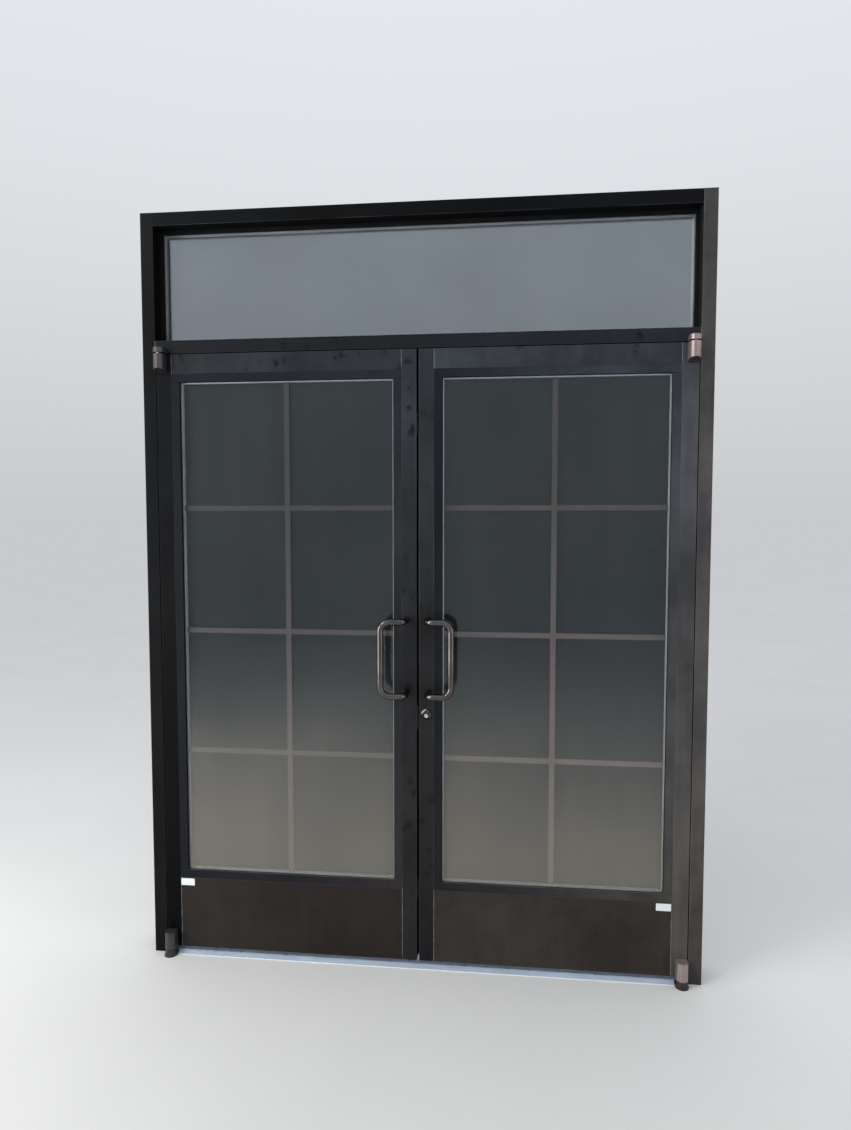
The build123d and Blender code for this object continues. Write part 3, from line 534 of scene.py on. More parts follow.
# %% Helpers: coordinates and bands
FULL_SHARE = 0.3


def coordinate(tree, axis):
    """One coordinate of the point on the object, in metres."""
    parts = tree.nodes.new("ShaderNodeSeparateXYZ")
    tree.links.new(place(tree), parts.inputs["Vector"])
    return parts.outputs[axis]


def arithmetic(tree, way, first, second):
    """One sum on two values, each an output of a node or a number."""
    node = tree.nodes.new("ShaderNodeMath")
    node.operation = way
    for socket, value in zip(node.inputs, (first, second)):
        if isinstance(value, float):
            socket.default_value = value
        else:
            tree.links.new(value, socket)
    return node.outputs["Value"]


def fading(tree, value, start, end):
    """Nought where a value is at start, one where it is at end, and even between them."""
    node = tree.nodes.new("ShaderNodeMapRange")
    node.inputs["From Min"].default_value = start
    node.inputs["From Max"].default_value = end
    tree.links.new(value, node.inputs["Value"])
    return node.outputs["Result"]


def band_at_ends(tree, axis, low, high, width):
    """One within width of either end of the span from low to high."""
    from_middle = arithmetic(tree, "SUBTRACT", coordinate(tree, axis), (low + high) / 2)
    away = arithmetic(tree, "ABSOLUTE", from_middle, 0.0)
    return fading(tree, away, (high - low) / 2 - width, (high - low) / 2 - FULL_SHARE * width)


print("helpers made: coordinate, arithmetic, fading, band_at_ends")

# %% [markdown]
# The extrusions are dark anodised aluminium, which outdoors is never plain black. Rain leaves faint runs,
# dust settles in soft patches, and fingers and splashes leave dark spots where the dust is gone. The way the
# bar was drawn shows as very fine lines along it. Long edges are painted a little brighter, partly as wear
# and partly as a painted highlight where they catch the light, and each rail's ends carry a painted
# highlight, a bright hairline against the stile. A single grey with some roughness would do for a distant
# door; close by, these layers are what tells anodised metal from plastic.

# %% Dust on the metal
LOW_DUST = (0.122, 0.108, 0.096)
MIDDLE_DUST = (0.118, 0.117, 0.118)
HIGH_DUST = (0.095, 0.108, 0.135)
TOP_HEIGHT = 2.6
DOWNWARD = (-0.2, -0.6)
UPWARD = (0.70, 0.95)
ASIDE = (0.75, 0.95)
OUTWARD = (0.5, 0.8)
SPOT_SMEAR = (0.034, 0.034, 0.050)
SPOTS_PER_METRE = 22.0


def dust_colour(tree, brown):
    """Dust that is bluish high up, grey in the middle and brown near the ground."""
    height = fading(tree, coordinate(tree, "Z"), 0.0, TOP_HEIGHT)
    by_height = ramp(tree, height, [(0.05, LOW_DUST), (0.40, MIDDLE_DUST), (0.80, HIGH_DUST)])
    return blend(tree, brown, by_height, LOW_DUST)


def facing(tree, axis):
    """How far the surface faces along an axis of the piece itself, so that it turns with the piece."""
    point = tree.nodes.new("ShaderNodeTexCoord")
    parts = tree.nodes.new("ShaderNodeSeparateXYZ")
    tree.links.new(point.outputs["Normal"], parts.inputs["Vector"])
    return parts.outputs[axis]


def looks_down(tree):
    """One where the surface faces the floor, and nought elsewhere."""
    return fading(tree, facing(tree, "Z"), *DOWNWARD)


def looks_aside(tree):
    """One where the surface faces left or right, and nought elsewhere."""
    return fading(tree, arithmetic(tree, "ABSOLUTE", facing(tree, "X"), 0.0), *ASIDE)


def looks_out(tree):
    """One where the surface faces the front or the back, and nought elsewhere."""
    return fading(tree, arithmetic(tree, "ABSOLUTE", facing(tree, "Y"), 0.0), *OUTWARD)


def wiped_spots(tree, shift, strength):
    """Nought in small smeared spots, here and there in patches, and one elsewhere."""
    bend = tree.nodes.new("ShaderNodeTexNoise")
    bend.inputs["Scale"].default_value = 36.0
    bend.inputs["Detail"].default_value = 3.0
    tree.links.new(place(tree, shift=shift), bend.inputs["Vector"])
    away = tree.nodes.new("ShaderNodeVectorMath")
    away.operation = "MULTIPLY_ADD"
    away.inputs[1].default_value = SPOT_SMEAR
    tree.links.new(bend.outputs["Color"], away.inputs[0])
    tree.links.new(place(tree, (1.0, 1.0, 0.8), shift), away.inputs[2])
    cells = tree.nodes.new("ShaderNodeTexVoronoi")
    cells.inputs["Scale"].default_value = SPOTS_PER_METRE
    tree.links.new(away.outputs["Vector"], cells.inputs["Vector"])
    wavy = noise(tree, place(tree, shift=shift), per_metre=130.0, detail=3.0)
    uneven = arithmetic(tree, "ADD", cells.outputs["Distance"], arithmetic(tree, "MULTIPLY", wavy, 0.50))
    outside_spot = between(tree, uneven, 0.36, 0.60, (0.0, 1.0))
    some = noise(tree, place(tree, shift=shift), per_metre=5.5, detail=2.0)
    outside_patch = between(tree, some, 0.50, 0.58, (1.0, 1.0 - strength))
    return blend(tree, 1.0, outside_spot, outside_patch, "LIGHTEN")


def dust_cover(tree, shift, most, spots):
    """How much dust lies on each point: patches, washed by runs, with dark spots in it."""
    patches = noise(tree, place(tree, shift=shift), per_metre=2.4, detail=6.0, roughness=0.62)
    runs = noise(tree, place(tree, (1.0, 1.0, 0.10), shift), per_metre=30.0, detail=5.0)
    grain = noise(tree, place(tree, shift=shift), per_metre=1100.0, detail=2.0)
    cover = between(tree, patches, 0.36, 0.66, (most * 0.40, most))
    cover = blend(tree, 1.0, cover, between(tree, runs, 0.40, 0.62, (0.84, 1.0)), "MULTIPLY")
    cover = blend(tree, 1.0, cover, between(tree, grain, 0.30, 0.75, (0.78, 1.0)), "MULTIPLY")
    if spots:
        cover = blend(tree, 1.0, cover, wiped_spots(tree, shift, spots), "MULTIPLY")
    return cover


print("dust by height:", LOW_DUST, MIDDLE_DUST, HIGH_DUST)

# %% [markdown]
# With the dust ready, one bar's finish is put together: the drawn metal below, the dust over it, and pale
# metal at the long edges and the rail ends, partly wear and partly a painted highlight where the edges catch
# the light. Faces that look down or aside, in the joints or under a bar, are painted near black and dull as
# painted shade. Dust lies thick on what looks up, and the inside, which has never been rained on, keeps its
# dark bronze. Each bar gets a finish of its own, because its edges are at its own place, and because two
# bars with the same patches side by side would look printed.

# %% Anodised bars of the frame
BARE_METAL_AND_HIGHLIGHT = (0.34, 0.35, 0.36)
COOL_BLACK = (0.0040, 0.0046, 0.0062)
BROWN_BLACK = (0.0080, 0.0060, 0.0052)
# Painted shade: the darkest base, for the pieces that lay in shade: the head, the left jamb, the stops and
# the left hinge stile.
PAINTED_SHADE_BLACK = (0.0022, 0.0024, 0.0028)
# Painted shade: near black for the faces that look down or aside.
PAINTED_SHADE_DARK = (0.0016, 0.0015, 0.0014)
LYING_DUST = (0.125, 0.118, 0.108)
INSIDE_BRONZE = (0.0190, 0.0165, 0.0145)
EDGE_WIDTH = 0.0013
INWARD = (0.50, 0.90)
INSIDE_SHARE = 0.8
PAINTED_SHADE_SHARE = 0.85
PAINTED_SHADE_DULL = (0.85, 0.85, 0.85)
DUST_DULLS = 0.34


def toned(colour, share):
    """A colour made darker or paler by a share."""
    return tuple(share * c for c in colour)


def anodised(node, metal, dust, along, spots=0.0, end_highlight=False, wear_and_highlight=0.5, gloss=0.36, brown=0.0,
             drift=None, shine=0.12):
    """Dress one bar. dust is the most that lies on it, and drift how its share changes along an axis."""
    material, tree, shader = new_material(node + "_finish")
    number = sorted(nodes).index(node)
    shift = (0.37 * number, 0.73 * number, 0.11 * number)
    low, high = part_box(node)
    squeeze = (0.05, 1.0, 1.0) if along == "X" else (1.0, 1.0, 0.05)
    lines = noise(tree, place(tree, squeeze, shift), per_metre=480.0, detail=2.0)
    cover = dust_cover(tree, shift, dust, spots)
    if drift:
        axis, at_low, at_high = drift
        ends = [getattr(corner, axis.lower()) for corner in (low, high)]
        reached = fading(tree, coordinate(tree, axis), *ends)
        cover = blend(tree, 1.0, cover, between(tree, reached, 0.0, 1.0, (at_low, at_high)), "MULTIPLY")
    drawn_metal = between(tree, lines, 0.35, 0.65, (toned(metal, 0.82), toned(metal, 1.18)))
    colour = blend(tree, cover, drawn_metal, dust_colour(tree, brown))
    across, span = ("Z", (low.z, high.z)) if along == "X" else ("X", (low.x, high.x))
    # Wear and painted highlight: the long front edges are mixed towards pale metal, partly wear and partly a
    # painted highlight.
    if wear_and_highlight:
        blotches = noise(tree, place(tree, squeeze, shift), per_metre=60.0)
        edge_wear_and_highlight = between(tree, blotches, 0.40, 0.68, (0.05, wear_and_highlight))
        edge = arithmetic(tree, "MULTIPLY", band_at_ends(tree, across, span[0], span[1], EDGE_WIDTH), edge_wear_and_highlight)
        edge = arithmetic(tree, "MULTIPLY", edge, looks_out(tree))
        colour = blend(tree, edge, colour, BARE_METAL_AND_HIGHLIGHT)
    # Painted highlight: a bright hairline at each end of a rail, against the stile.
    if end_highlight:
        patchy = noise(tree, place(tree, shift=shift), per_metre=34.0, detail=3.0)
        bright = between(tree, patchy, 0.35, 0.60, (0.35, 1.0))
        cut = arithmetic(tree, "MULTIPLY", band_at_ends(tree, "X", low.x, high.x, EDGE_WIDTH), bright)
        colour = blend(tree, cut, colour, BARE_METAL_AND_HIGHLIGHT)
    # Painted shade: faces that look down or aside are mixed towards near black and made dull.
    painted_shade_faces = arithmetic(tree, "MAXIMUM", looks_down(tree), looks_aside(tree))
    colour = blend(tree, arithmetic(tree, "MULTIPLY", painted_shade_faces, PAINTED_SHADE_SHARE), colour, PAINTED_SHADE_DARK)
    heaps = noise(tree, place(tree, shift=shift), per_metre=9.0, detail=6.0)
    thickness = between(tree, heaps, 0.35, 0.65, (0.35, 0.75))
    lying = arithmetic(tree, "MULTIPLY", fading(tree, facing(tree, "Z"), *UPWARD), thickness)
    colour = blend(tree, lying, colour, LYING_DUST)
    inside = arithmetic(tree, "MULTIPLY", fading(tree, facing(tree, "Y"), *INWARD), INSIDE_SHARE)
    colour = blend(tree, inside, colour, INSIDE_BRONZE)
    dulled = between(tree, cover, 0.0, 0.8, (gloss, gloss + DUST_DULLS))
    wire(tree, shader, colour, blend(tree, painted_shade_faces, dulled, PAINTED_SHADE_DULL))
    shader.inputs["Specular IOR Level"].default_value = shine
    relief(tree, shader, lines, metres=0.00003, strength=0.35)
    dress(material, node)


# The head, the left jamb and the stops below get the darkest base as painted shade.
anodised("head", PAINTED_SHADE_BLACK, 0.05, "X", wear_and_highlight=0.5, shine=0.05)
anodised("left_jamb", PAINTED_SHADE_BLACK, 0.07, "Z", wear_and_highlight=0.1, shine=0.05)
# Painted light: the right jamb carries far more dust than the left, partly dust and partly painted light
# where the sun fell.
anodised("right_jamb", COOL_BLACK, 1.0, "Z", wear_and_highlight=0.5, brown=0.7)
# Painted light: the bar's dust grows towards the right, partly dust and partly painted light.
anodised("transom_bar", COOL_BLACK, 0.17, "X", spots=0.9, end_highlight=True, wear_and_highlight=0.12, drift=("X", 0.20, 1.2))
anodised("left_jamb_stop", PAINTED_SHADE_BLACK, 0.05, "Z", shine=0.06)
anodised("right_jamb_stop", PAINTED_SHADE_BLACK, 0.05, "Z", shine=0.06)
anodised("door_head_stop", PAINTED_SHADE_BLACK, 0.05, "X", shine=0.06)
print("pieces dressed so far:", len(dressed))

# %% [markdown]
# The leaves are the same metal, but each bar has its own history. The stiles near the pulls are touched
# every day, the top rails keep their dust and spots, and the bottom rails are browner from splashes. The
# bars on the right carry more dust than those on the left, partly dust and partly painted light where the
# sun fell on the right side, so they are greyer than the left.

# %% Stiles and rails
# The left hinge stile gets the darkest base as painted shade.
anodised("left_hinge_stile", PAINTED_SHADE_BLACK, 0.10, "Z", wear_and_highlight=0.1, drift=("Z", 0.0, 1.0), shine=0.04)
anodised("left_meeting_stile", COOL_BLACK, 0.34, "Z", spots=0.85, wear_and_highlight=0.22, drift=("Z", 0.50, 1.05))
anodised("right_meeting_stile", COOL_BLACK, 0.31, "Z", spots=0.85, wear_and_highlight=0.34, drift=("Z", 0.20, 1.05))
# Painted light: the right hinge stile and the right rails carry more dust than the left ones, partly dust
# and partly painted light.
anodised("right_hinge_stile", COOL_BLACK, 0.90, "Z", wear_and_highlight=0.4, brown=0.2, drift=("Z", 0.92, 1.0))
anodised("left_top_rail", COOL_BLACK, 0.38, "X", spots=0.95, end_highlight=True, wear_and_highlight=0.12)
anodised("right_top_rail", COOL_BLACK, 0.56, "X", spots=0.95, end_highlight=True, wear_and_highlight=0.12)
anodised("left_bottom_rail", BROWN_BLACK, 0.17, "X", end_highlight=True, wear_and_highlight=0.1)
anodised("right_bottom_rail", BROWN_BLACK, 0.33, "X", end_highlight=True, wear_and_highlight=0.1)
print("pieces dressed so far:", len(dressed))

# %% [markdown]
# The glazing stops snap in after the glass, so they are smoother than the bars round them, and a shade
# bluer. On each leaf the share of dust grows from the left side to the right, and the right leaf carries
# more of it, partly dust and partly painted light where the sun fell on the right.

# %% Glazing stops
BLUE_BLACK = (0.0036, 0.0052, 0.0082)
# Painted light: the dust share drifts from left to right across each leaf, partly dust and partly painted
# light.
anodised("left_outer_stops", BLUE_BLACK, 0.22, "Z", wear_and_highlight=0.0, gloss=0.30, drift=("X", 0.25, 1.0))
anodised("right_outer_stops", BLUE_BLACK, 0.70, "Z", wear_and_highlight=0.0, gloss=0.30, drift=("X", 0.10, 1.0))
for stops in ("left_inner_stops", "right_inner_stops"):
    anodised(stops, BLUE_BLACK, 0.13, "Z", wear_and_highlight=0.0, gloss=0.28)
# The transom stops get the darkest base as painted shade.
for stops in ("transom_outer_stops", "transom_inner_stops"):
    anodised(stops, PAINTED_SHADE_BLACK, 0.10, "X", wear_and_highlight=0.0, gloss=0.30)
print("pieces dressed so far:", len(dressed))

# %% [markdown]
# Sealed glass looks grey and dark by day: the outer pane sends back a share of the daylight, and the coated
# inner one, painted dark for the unlit room behind it, lets little come out. True refraction would show the
# studio behind the door, where a real door has a dark room. So the outer pane is a sheet that hides a share
# of what is behind it and mirrors there. A small bright share looks grainy, because few rays meet it, so
# over the leaves the share is larger and its tint darker, which comes to the same tone. The light over them
# gets a paler tint and mirrors more, a painted reflection of the bright sky. Wiped dust and rain marks
# change the gloss and the cover from place to place, more of them towards the ground, and a paler film
# towards the ground is partly dust and partly a painted reflection of the bright ground.

# %% Outer panes
GLASS_DUST_AND_SHEEN = (0.455, 0.415, 0.345)
LEAF_TINT = (0.180, 0.218, 0.242)
TRANSOM_SKY_REFLECTION_TINT = (0.69, 0.76, 0.83)
DUST_AND_REFLECTION_REACH = (1.15, 0.25)


def outer_glass(name, tint, share, film, low_dust_and_reflection):
    """A pane that mirrors over a share of itself; film adds dust, the last argument low dust and painted
    reflection.
    """
    material, tree, shader = new_material(name)
    wipes = noise(tree, place(tree, (1.0, 1.0, 0.5)), per_metre=3.2, detail=3.0, roughness=0.5)
    runs = noise(tree, place(tree, (1.0, 1.0, 0.06)), per_metre=16.0, detail=2.0)
    marks = between(tree, blend(tree, 0.30, wipes, runs), 0.38, 0.68, (0.0, 1.0))
    # Dust and painted reflection: a paler film grows towards the ground, partly dust and partly a painted
    # reflection of the ground.
    low = fading(tree, coordinate(tree, "Z"), *DUST_AND_REFLECTION_REACH)
    marked = blend(tree, 1.0, marks, between(tree, low, 0.0, 1.0, (0.50 * film, film)), "MULTIPLY")
    dust_and_reflection = blend(tree, 1.0, between(tree, low, 0.0, 1.0, (0.0, low_dust_and_reflection)), marked, "ADD")
    dust_and_reflection_share = between(tree, dust_and_reflection, 0.0, 0.12, (0.0, 0.75))
    slow = noise(tree, place(tree, (1.0, 1.0, 1.6)), per_metre=1.7, detail=3.0)
    mirror = between(tree, slow, 0.36, 0.66, (0.90 * share, 1.06 * share))
    tree.links.new(blend(tree, 1.0, dust_and_reflection, mirror, "ADD"), shader.inputs["Alpha"])
    tree.links.new(between(tree, dust_and_reflection_share, 0.0, 1.0, (1.0, 0.15)), shader.inputs["Metallic"])
    smeared = between(tree, marks, 0.0, 1.0, (0.012, 0.07))
    wire(tree, shader, blend(tree, dust_and_reflection_share, tint, GLASS_DUST_AND_SHEEN), smeared)
    material.surface_render_method = "BLENDED"
    return material


leaf_pane = outer_glass("leaf_outer_glass", LEAF_TINT, share=0.115, film=0.034, low_dust_and_reflection=0.140)
# Painted reflection: the transom pane gets a paler tint and a larger share, a painted reflection of the
# bright sky.
transom_pane = outer_glass("transom_outer_glass", TRANSOM_SKY_REFLECTION_TINT, share=0.240, film=0.025, low_dust_and_reflection=0.0)
dress(leaf_pane, "left_outer_pane", "right_outer_pane")
dress(transom_pane, "transom_outer_pane")
print("pieces dressed so far:", len(dressed))

# %% [markdown]
# The inner pane carries a coating that keeps heat in. A dark surface with a soft gloss stands for the pane
# and the unlit room behind it, as painted shade, and its tone drifts a little, as it does along a large
# sheet.

# %% Inner panes
# Painted shade: the tones of the pane together with the dark room behind it.
DARK_ROOM_TONES = ((0.0045, 0.0060, 0.0068), (0.0085, 0.0100, 0.0108))

inner_pane, tree, shader = new_material("inner_glass_and_dark_room")
haze = noise(tree, place(tree), per_metre=2.2)
dark_room_tone = between(tree, haze, 0.35, 0.70, DARK_ROOM_TONES)
wire(tree, shader, dark_room_tone, between(tree, haze, 0.30, 0.70, (0.29, 0.33)))
shader.inputs["Specular IOR Level"].default_value = 0.28
dress(inner_pane, "left_inner_pane", "right_inner_pane", "transom_inner_pane")
print("pieces dressed so far:", len(dressed))

# %% [markdown]
# Between the panes runs a silver spacer, rolled from thin aluminium. The flat grille bars are painted a
# pinkish tan, kept dark as painted shade inside the glazing, darker still high up as painted shade, and
# paler towards the ground and on the right leaf as painted light. Both are behind glass and stay clean, so
# their finishes are a soft change of tone and a fine grain.
# Rubber gaskets close the joint between the glass and the stops, dull black with a slight bloom.

# %% Spacers, grille bars and rubber
def even_finish(name, tones, metal, dull, per_metre, grain, depth=0.00002):
    """A clean factory finish: two near tones, a fine grain in the gloss and a slight relief."""
    material, tree, shader = new_material(name)
    soft = noise(tree, place(tree), per_metre)
    fine = noise(tree, place(tree), grain, detail=2.0)
    tone = between(tree, soft, 0.32, 0.68, tones)
    wire(tree, shader, tone, between(tree, fine, 0.3, 0.7, (dull, dull + 0.14)))
    shader.inputs["Metallic"].default_value = metal
    relief(tree, shader, fine, depth, strength=0.3)
    return material


SPACER_TONES = ((0.60, 0.65, 0.70), (0.80, 0.83, 0.86))
# Painted shade: the tan is kept dark for the shade inside the glazing.
GRILLE_TONES = ((0.076, 0.058, 0.053), (0.099, 0.076, 0.070))
SHADED_TOP_SHARE = 0.27
SHADE_REACH = (1.70, 0.85)
PAINTED_SUN_SIDE = 1.90
PAINTED_SUN_ACROSS = (-0.3, 0.3)
RUBBER_TONES = ((0.007, 0.007, 0.0075), (0.017, 0.017, 0.018))

spacer_metal = even_finish("spacer_metal", SPACER_TONES, metal=0.5, dull=0.30, per_metre=9.0,
                           grain=700.0, depth=0.00003)
grille_enamel = even_finish("grille_enamel", GRILLE_TONES, metal=0.0, dull=0.42, per_metre=4.0, grain=1100.0)
tree = grille_enamel.node_tree
shader = tree.nodes["Principled BSDF"]
enamel_tone = shader.inputs["Base Color"].links[0].from_socket
# Painted shade high up and painted light on the right leaf: the tone is multiplied down towards the top and
# up to the right.
painted_shade_by_height = between(tree, fading(tree, coordinate(tree, "Z"), *SHADE_REACH), 0.0, 1.0, (SHADED_TOP_SHARE, 1.0))
painted_sun_mask = fading(tree, coordinate(tree, "X"), *PAINTED_SUN_ACROSS)
painted_sun_gain = arithmetic(tree, "ADD", arithmetic(tree, "MULTIPLY", painted_sun_mask, PAINTED_SUN_SIDE - 1.0), 1.0)
painted_light_share = arithmetic(tree, "MULTIPLY", painted_shade_by_height, painted_sun_gain)
tree.links.new(blend(tree, 1.0, enamel_tone, painted_light_share, "MULTIPLY"), shader.inputs["Base Color"])
rubber = even_finish("rubber", RUBBER_TONES, metal=0.0, dull=0.64, per_metre=30.0,
                     grain=1500.0, depth=0.00004)
rubber.node_tree.nodes["Principled BSDF"].inputs["Specular IOR Level"].default_value = 0.3
dress(spacer_metal, "left_spacer", "right_spacer", "transom_spacer")
dress(grille_enamel, "left_grille", "right_grille")
dress(rubber, "left_gaskets", "right_gaskets", "transom_gaskets", "frame_weatherstrip")
print("pieces dressed so far:", len(dressed))

# %% [markdown]
# At its real size the single fibres of the brush can't be seen, but their rows can, so the finish has fine
# lines across the strip, black between them and a little greyer on them.

# %% Brush finish
PILE_TONES = ((0.003, 0.003, 0.0035), (0.011, 0.011, 0.012))

pile, tree, shader = new_material("brush_pile")
fibres = noise(tree, place(tree, (0.2, 0.2, 1.0)), per_metre=1300.0, detail=2.0)
clumps = noise(tree, place(tree, (0.2, 0.2, 1.0)), per_metre=110.0, detail=3.0)
pile_depth = blend(tree, 0.4, fibres, clumps)
pile_tone = between(tree, pile_depth, 0.35, 0.68, PILE_TONES)
wire(tree, shader, pile_tone, between(tree, fibres, 0.3, 0.7, (0.75, 0.95)))
shader.inputs["Specular IOR Level"].default_value = 0.1
relief(tree, shader, fibres, metres=0.0003, strength=0.8)
brush.data.materials.append(pile)
dress(pile, "meeting_seal")
print("pieces dressed so far:", len(dressed))

# %% [markdown]
# The threshold is bare mill aluminium. Feet and grit scratch it, and dirt stays in its flutes, which are the
# low places between its ribs, so the dirt is tied to the height of the surface. Its front slope is wiped by
# every shoe and stays bright, and its lower lip carries a painted highlight, a near-white line.

# %% Threshold
FLUTE_FLOOR = THRESHOLD_HIGH.z - 0.0010
DIRT_ENDS = FLUTE_FLOOR + 0.0006
DIRT_FULL = FLUTE_FLOOR + 0.0001
NOSE_BACK = THRESHOLD_LOW.y + 0.016
NOSE_EDGE = 0.001
LIP = THRESHOLD_LOW.z + 0.0022
LIP_FADE = 0.0012
MILL_TONES = ((0.46, 0.56, 0.69), (0.63, 0.73, 0.86))
DULL_MILL = (0.29, 0.35, 0.43)
FLUTE_DIRT = (0.085, 0.080, 0.075)
PAINTED_LIP_HIGHLIGHT = (0.93, 0.95, 0.97)

mill, tree, shader = new_material("mill_aluminium")
drawn = noise(tree, place(tree, (0.03, 1.0, 1.0)), per_metre=500.0, detail=3.0)
scuffs = noise(tree, place(tree, (1.0, 0.4, 1.0)), per_metre=45.0, detail=6.0, roughness=0.7)
clouds = noise(tree, place(tree), per_metre=5.0)
bright = between(tree, drawn, 0.3, 0.7, MILL_TONES)
colour = blend(tree, between(tree, clouds, 0.35, 0.75, (0.05, 0.45)), bright, DULL_MILL)
low_place = fading(tree, coordinate(tree, "Z"), DIRT_ENDS, DIRT_FULL)
behind_nose = fading(tree, coordinate(tree, "Y"), NOSE_BACK - NOSE_EDGE, NOSE_BACK + NOSE_EDGE)
dirt = arithmetic(tree, "MULTIPLY", arithmetic(tree, "MULTIPLY", low_place, behind_nose), 0.4)
colour = blend(tree, dirt, colour, FLUTE_DIRT)
# Painted highlight: a near-white line along the threshold's lower lip.
painted_lip_highlight = arithmetic(tree, "MULTIPLY", fading(tree, coordinate(tree, "Z"), LIP + LIP_FADE, LIP), 0.9)
colour = blend(tree, painted_lip_highlight, colour, PAINTED_LIP_HIGHLIGHT)
wire(tree, shader, colour, between(tree, scuffs, 0.35, 0.7, (0.26, 0.52)))
shader.inputs["Metallic"].default_value = 0.75
relief(tree, shader, scuffs, metres=0.00008, strength=0.3)
dress(mill, "threshold")
print("flutes below", round(FLUTE_FLOOR, 4), "pieces dressed so far:", len(dressed))

# %% [markdown]
# The pivots are castings in a warm grey metallic paint that has worn in upright lines. The right ones are
# painted pale as painted light, where the sun fell, the left ones darker as painted shade, and the cones on
# the floor are nearly black with grime. The joint between the two halves of a top pivot is painted black as
# painted shade, apart from a painted highlight, a bright patch on the bearing in it. Faces that look down
# are painted brown as painted shade.

# %% Pivots
BEARING_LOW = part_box("left_top_pivot_arm")[1].z + 0.0002
BEARING_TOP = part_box("left_top_pivot_arm")[1].z + 0.0030
PIN_LOW, PIN_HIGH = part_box("right_floor_pivot")
PIN_X = (PIN_LOW.x + PIN_HIGH.x) / 2
# Painted highlight: the bright patch on a top pivot's bearing.
PAINTED_BEARING_HIGHLIGHT = (0.86, 0.84, 0.80)
# Painted shade: the black band in the joint between the halves.
PAINTED_JOINT_SHADE = (0.006, 0.005, 0.005)
# Painted shade: the brown on faces that look down.
PAINTED_UNDERSIDE_SHADE = (0.045, 0.031, 0.024)
HAIR = 0.0001
JOINT_SHADE_SPILL = 0.0008
HIGHLIGHT_HALF = 0.004
HIGHLIGHT_EDGE = 0.001


def within(tree, value, low, high, edge):
    """One between low and high, nought outside, with an even change over edge."""
    above = fading(tree, value, low - edge, low + edge)
    below = fading(tree, value, high + edge, high - edge)
    return arithmetic(tree, "MULTIPLY", above, below)


def cast_paint(name, light, dark, gloss, pin_x=None, metal=0.7):
    """Metallic paint on a casting. Where pin_x is given, its joint gets painted shade and its bearing a
    painted highlight.
    """
    material, tree, shader = new_material(name)
    grime = noise(tree, place(tree, (1.0, 1.0, 0.5)), per_metre=34.0, detail=5.0, roughness=0.65)
    peel = noise(tree, place(tree), per_metre=800.0, detail=2.0)
    scratches = noise(tree, place(tree, (1.0, 1.0, 0.03)), per_metre=420.0, detail=3.0)
    paint = between(tree, scratches, 0.36, 0.64, (toned(light, 0.72), toned(light, 1.24)))
    colour = blend(tree, between(tree, grime, 0.48, 0.76, (0.0, 0.85)), paint, dark)
    # Painted shade: faces that look down are mixed towards brown.
    colour = blend(tree, arithmetic(tree, "MULTIPLY", looks_down(tree), PAINTED_SHADE_SHARE), colour, PAINTED_UNDERSIDE_SHADE)
    if pin_x is not None:
        height = coordinate(tree, "Z")
        # Painted shade in the joint, and a painted highlight on the bearing in it.
        joint_shade = within(tree, height, BEARING_LOW - JOINT_SHADE_SPILL, BEARING_TOP + JOINT_SHADE_SPILL, 3 * HAIR)
        colour = blend(tree, joint_shade, colour, PAINTED_JOINT_SHADE)
        beside_pin = arithmetic(tree, "SUBTRACT", coordinate(tree, "X"), pin_x)
        on_face = within(tree, beside_pin, -HIGHLIGHT_HALF, HIGHLIGHT_HALF, HIGHLIGHT_EDGE)
        in_joint = within(tree, height, BEARING_LOW, BEARING_TOP, HAIR)
        wear_and_highlight = arithmetic(tree, "MULTIPLY", on_face, in_joint)
        colour = blend(tree, wear_and_highlight, colour, PAINTED_BEARING_HIGHLIGHT)
    wire(tree, shader, colour, between(tree, grime, 0.4, 0.75, (gloss, gloss + 0.22)))
    shader.inputs["Metallic"].default_value = metal
    relief(tree, shader, peel, metres=0.00004, strength=0.35)
    return material


# Painted light on the pale right pivots, painted shade on the darker left ones.
PAINTED_LIGHT_CAST = (0.37, 0.305, 0.280)
PAINTED_LIGHT_GRIME = (0.130, 0.098, 0.082)
PAINTED_LIGHT_LOW_CAST = (0.31, 0.255, 0.222)
PAINTED_SHADE_CAST = (0.100, 0.087, 0.092)
PAINTED_SHADE_LOW_CAST = (0.062, 0.058, 0.053)
PAINTED_SHADE_GRIME = (0.026, 0.024, 0.023)
CONE_CAST = (0.050, 0.046, 0.045)
CONE_GRIME = (0.014, 0.013, 0.013)

pale_top = cast_paint("pale_top_pivot", PAINTED_LIGHT_CAST, PAINTED_LIGHT_GRIME, 0.24, PIN_X)
mauve_top = cast_paint("mauve_top_pivot", PAINTED_SHADE_CAST, PAINTED_SHADE_GRIME, 0.28, -PIN_X)
dress(pale_top, "right_top_pivot_arm", "right_top_bracket")
dress(mauve_top, "left_top_pivot_arm", "left_top_bracket")
dress(cast_paint("warm_bottom_pivot", PAINTED_LIGHT_LOW_CAST, PAINTED_LIGHT_GRIME, 0.20, metal=0.4), "right_bottom_pivot_arm")
dress(cast_paint("dull_bottom_pivot", PAINTED_SHADE_LOW_CAST, PAINTED_SHADE_GRIME, 0.26, metal=0.5), "left_bottom_pivot_arm")
dress(cast_paint("grimy_cone", CONE_CAST, CONE_GRIME, 0.24), "left_floor_pivot", "right_floor_pivot")
print("pieces dressed so far:", len(dressed), "pin at", round(PIN_X, 4))

# %% [markdown]
# The pulls are satin steel. A polishing belt leaves fine lines, and hands leave the grip smoother and darker
# in soft patches. Metal has no colour of its own in the shade: what is seen is the studio, tinted by the
# base colour. That colour is kept far darker than bare steel, as painted shade for the dark surroundings
# that the pulls mirror.

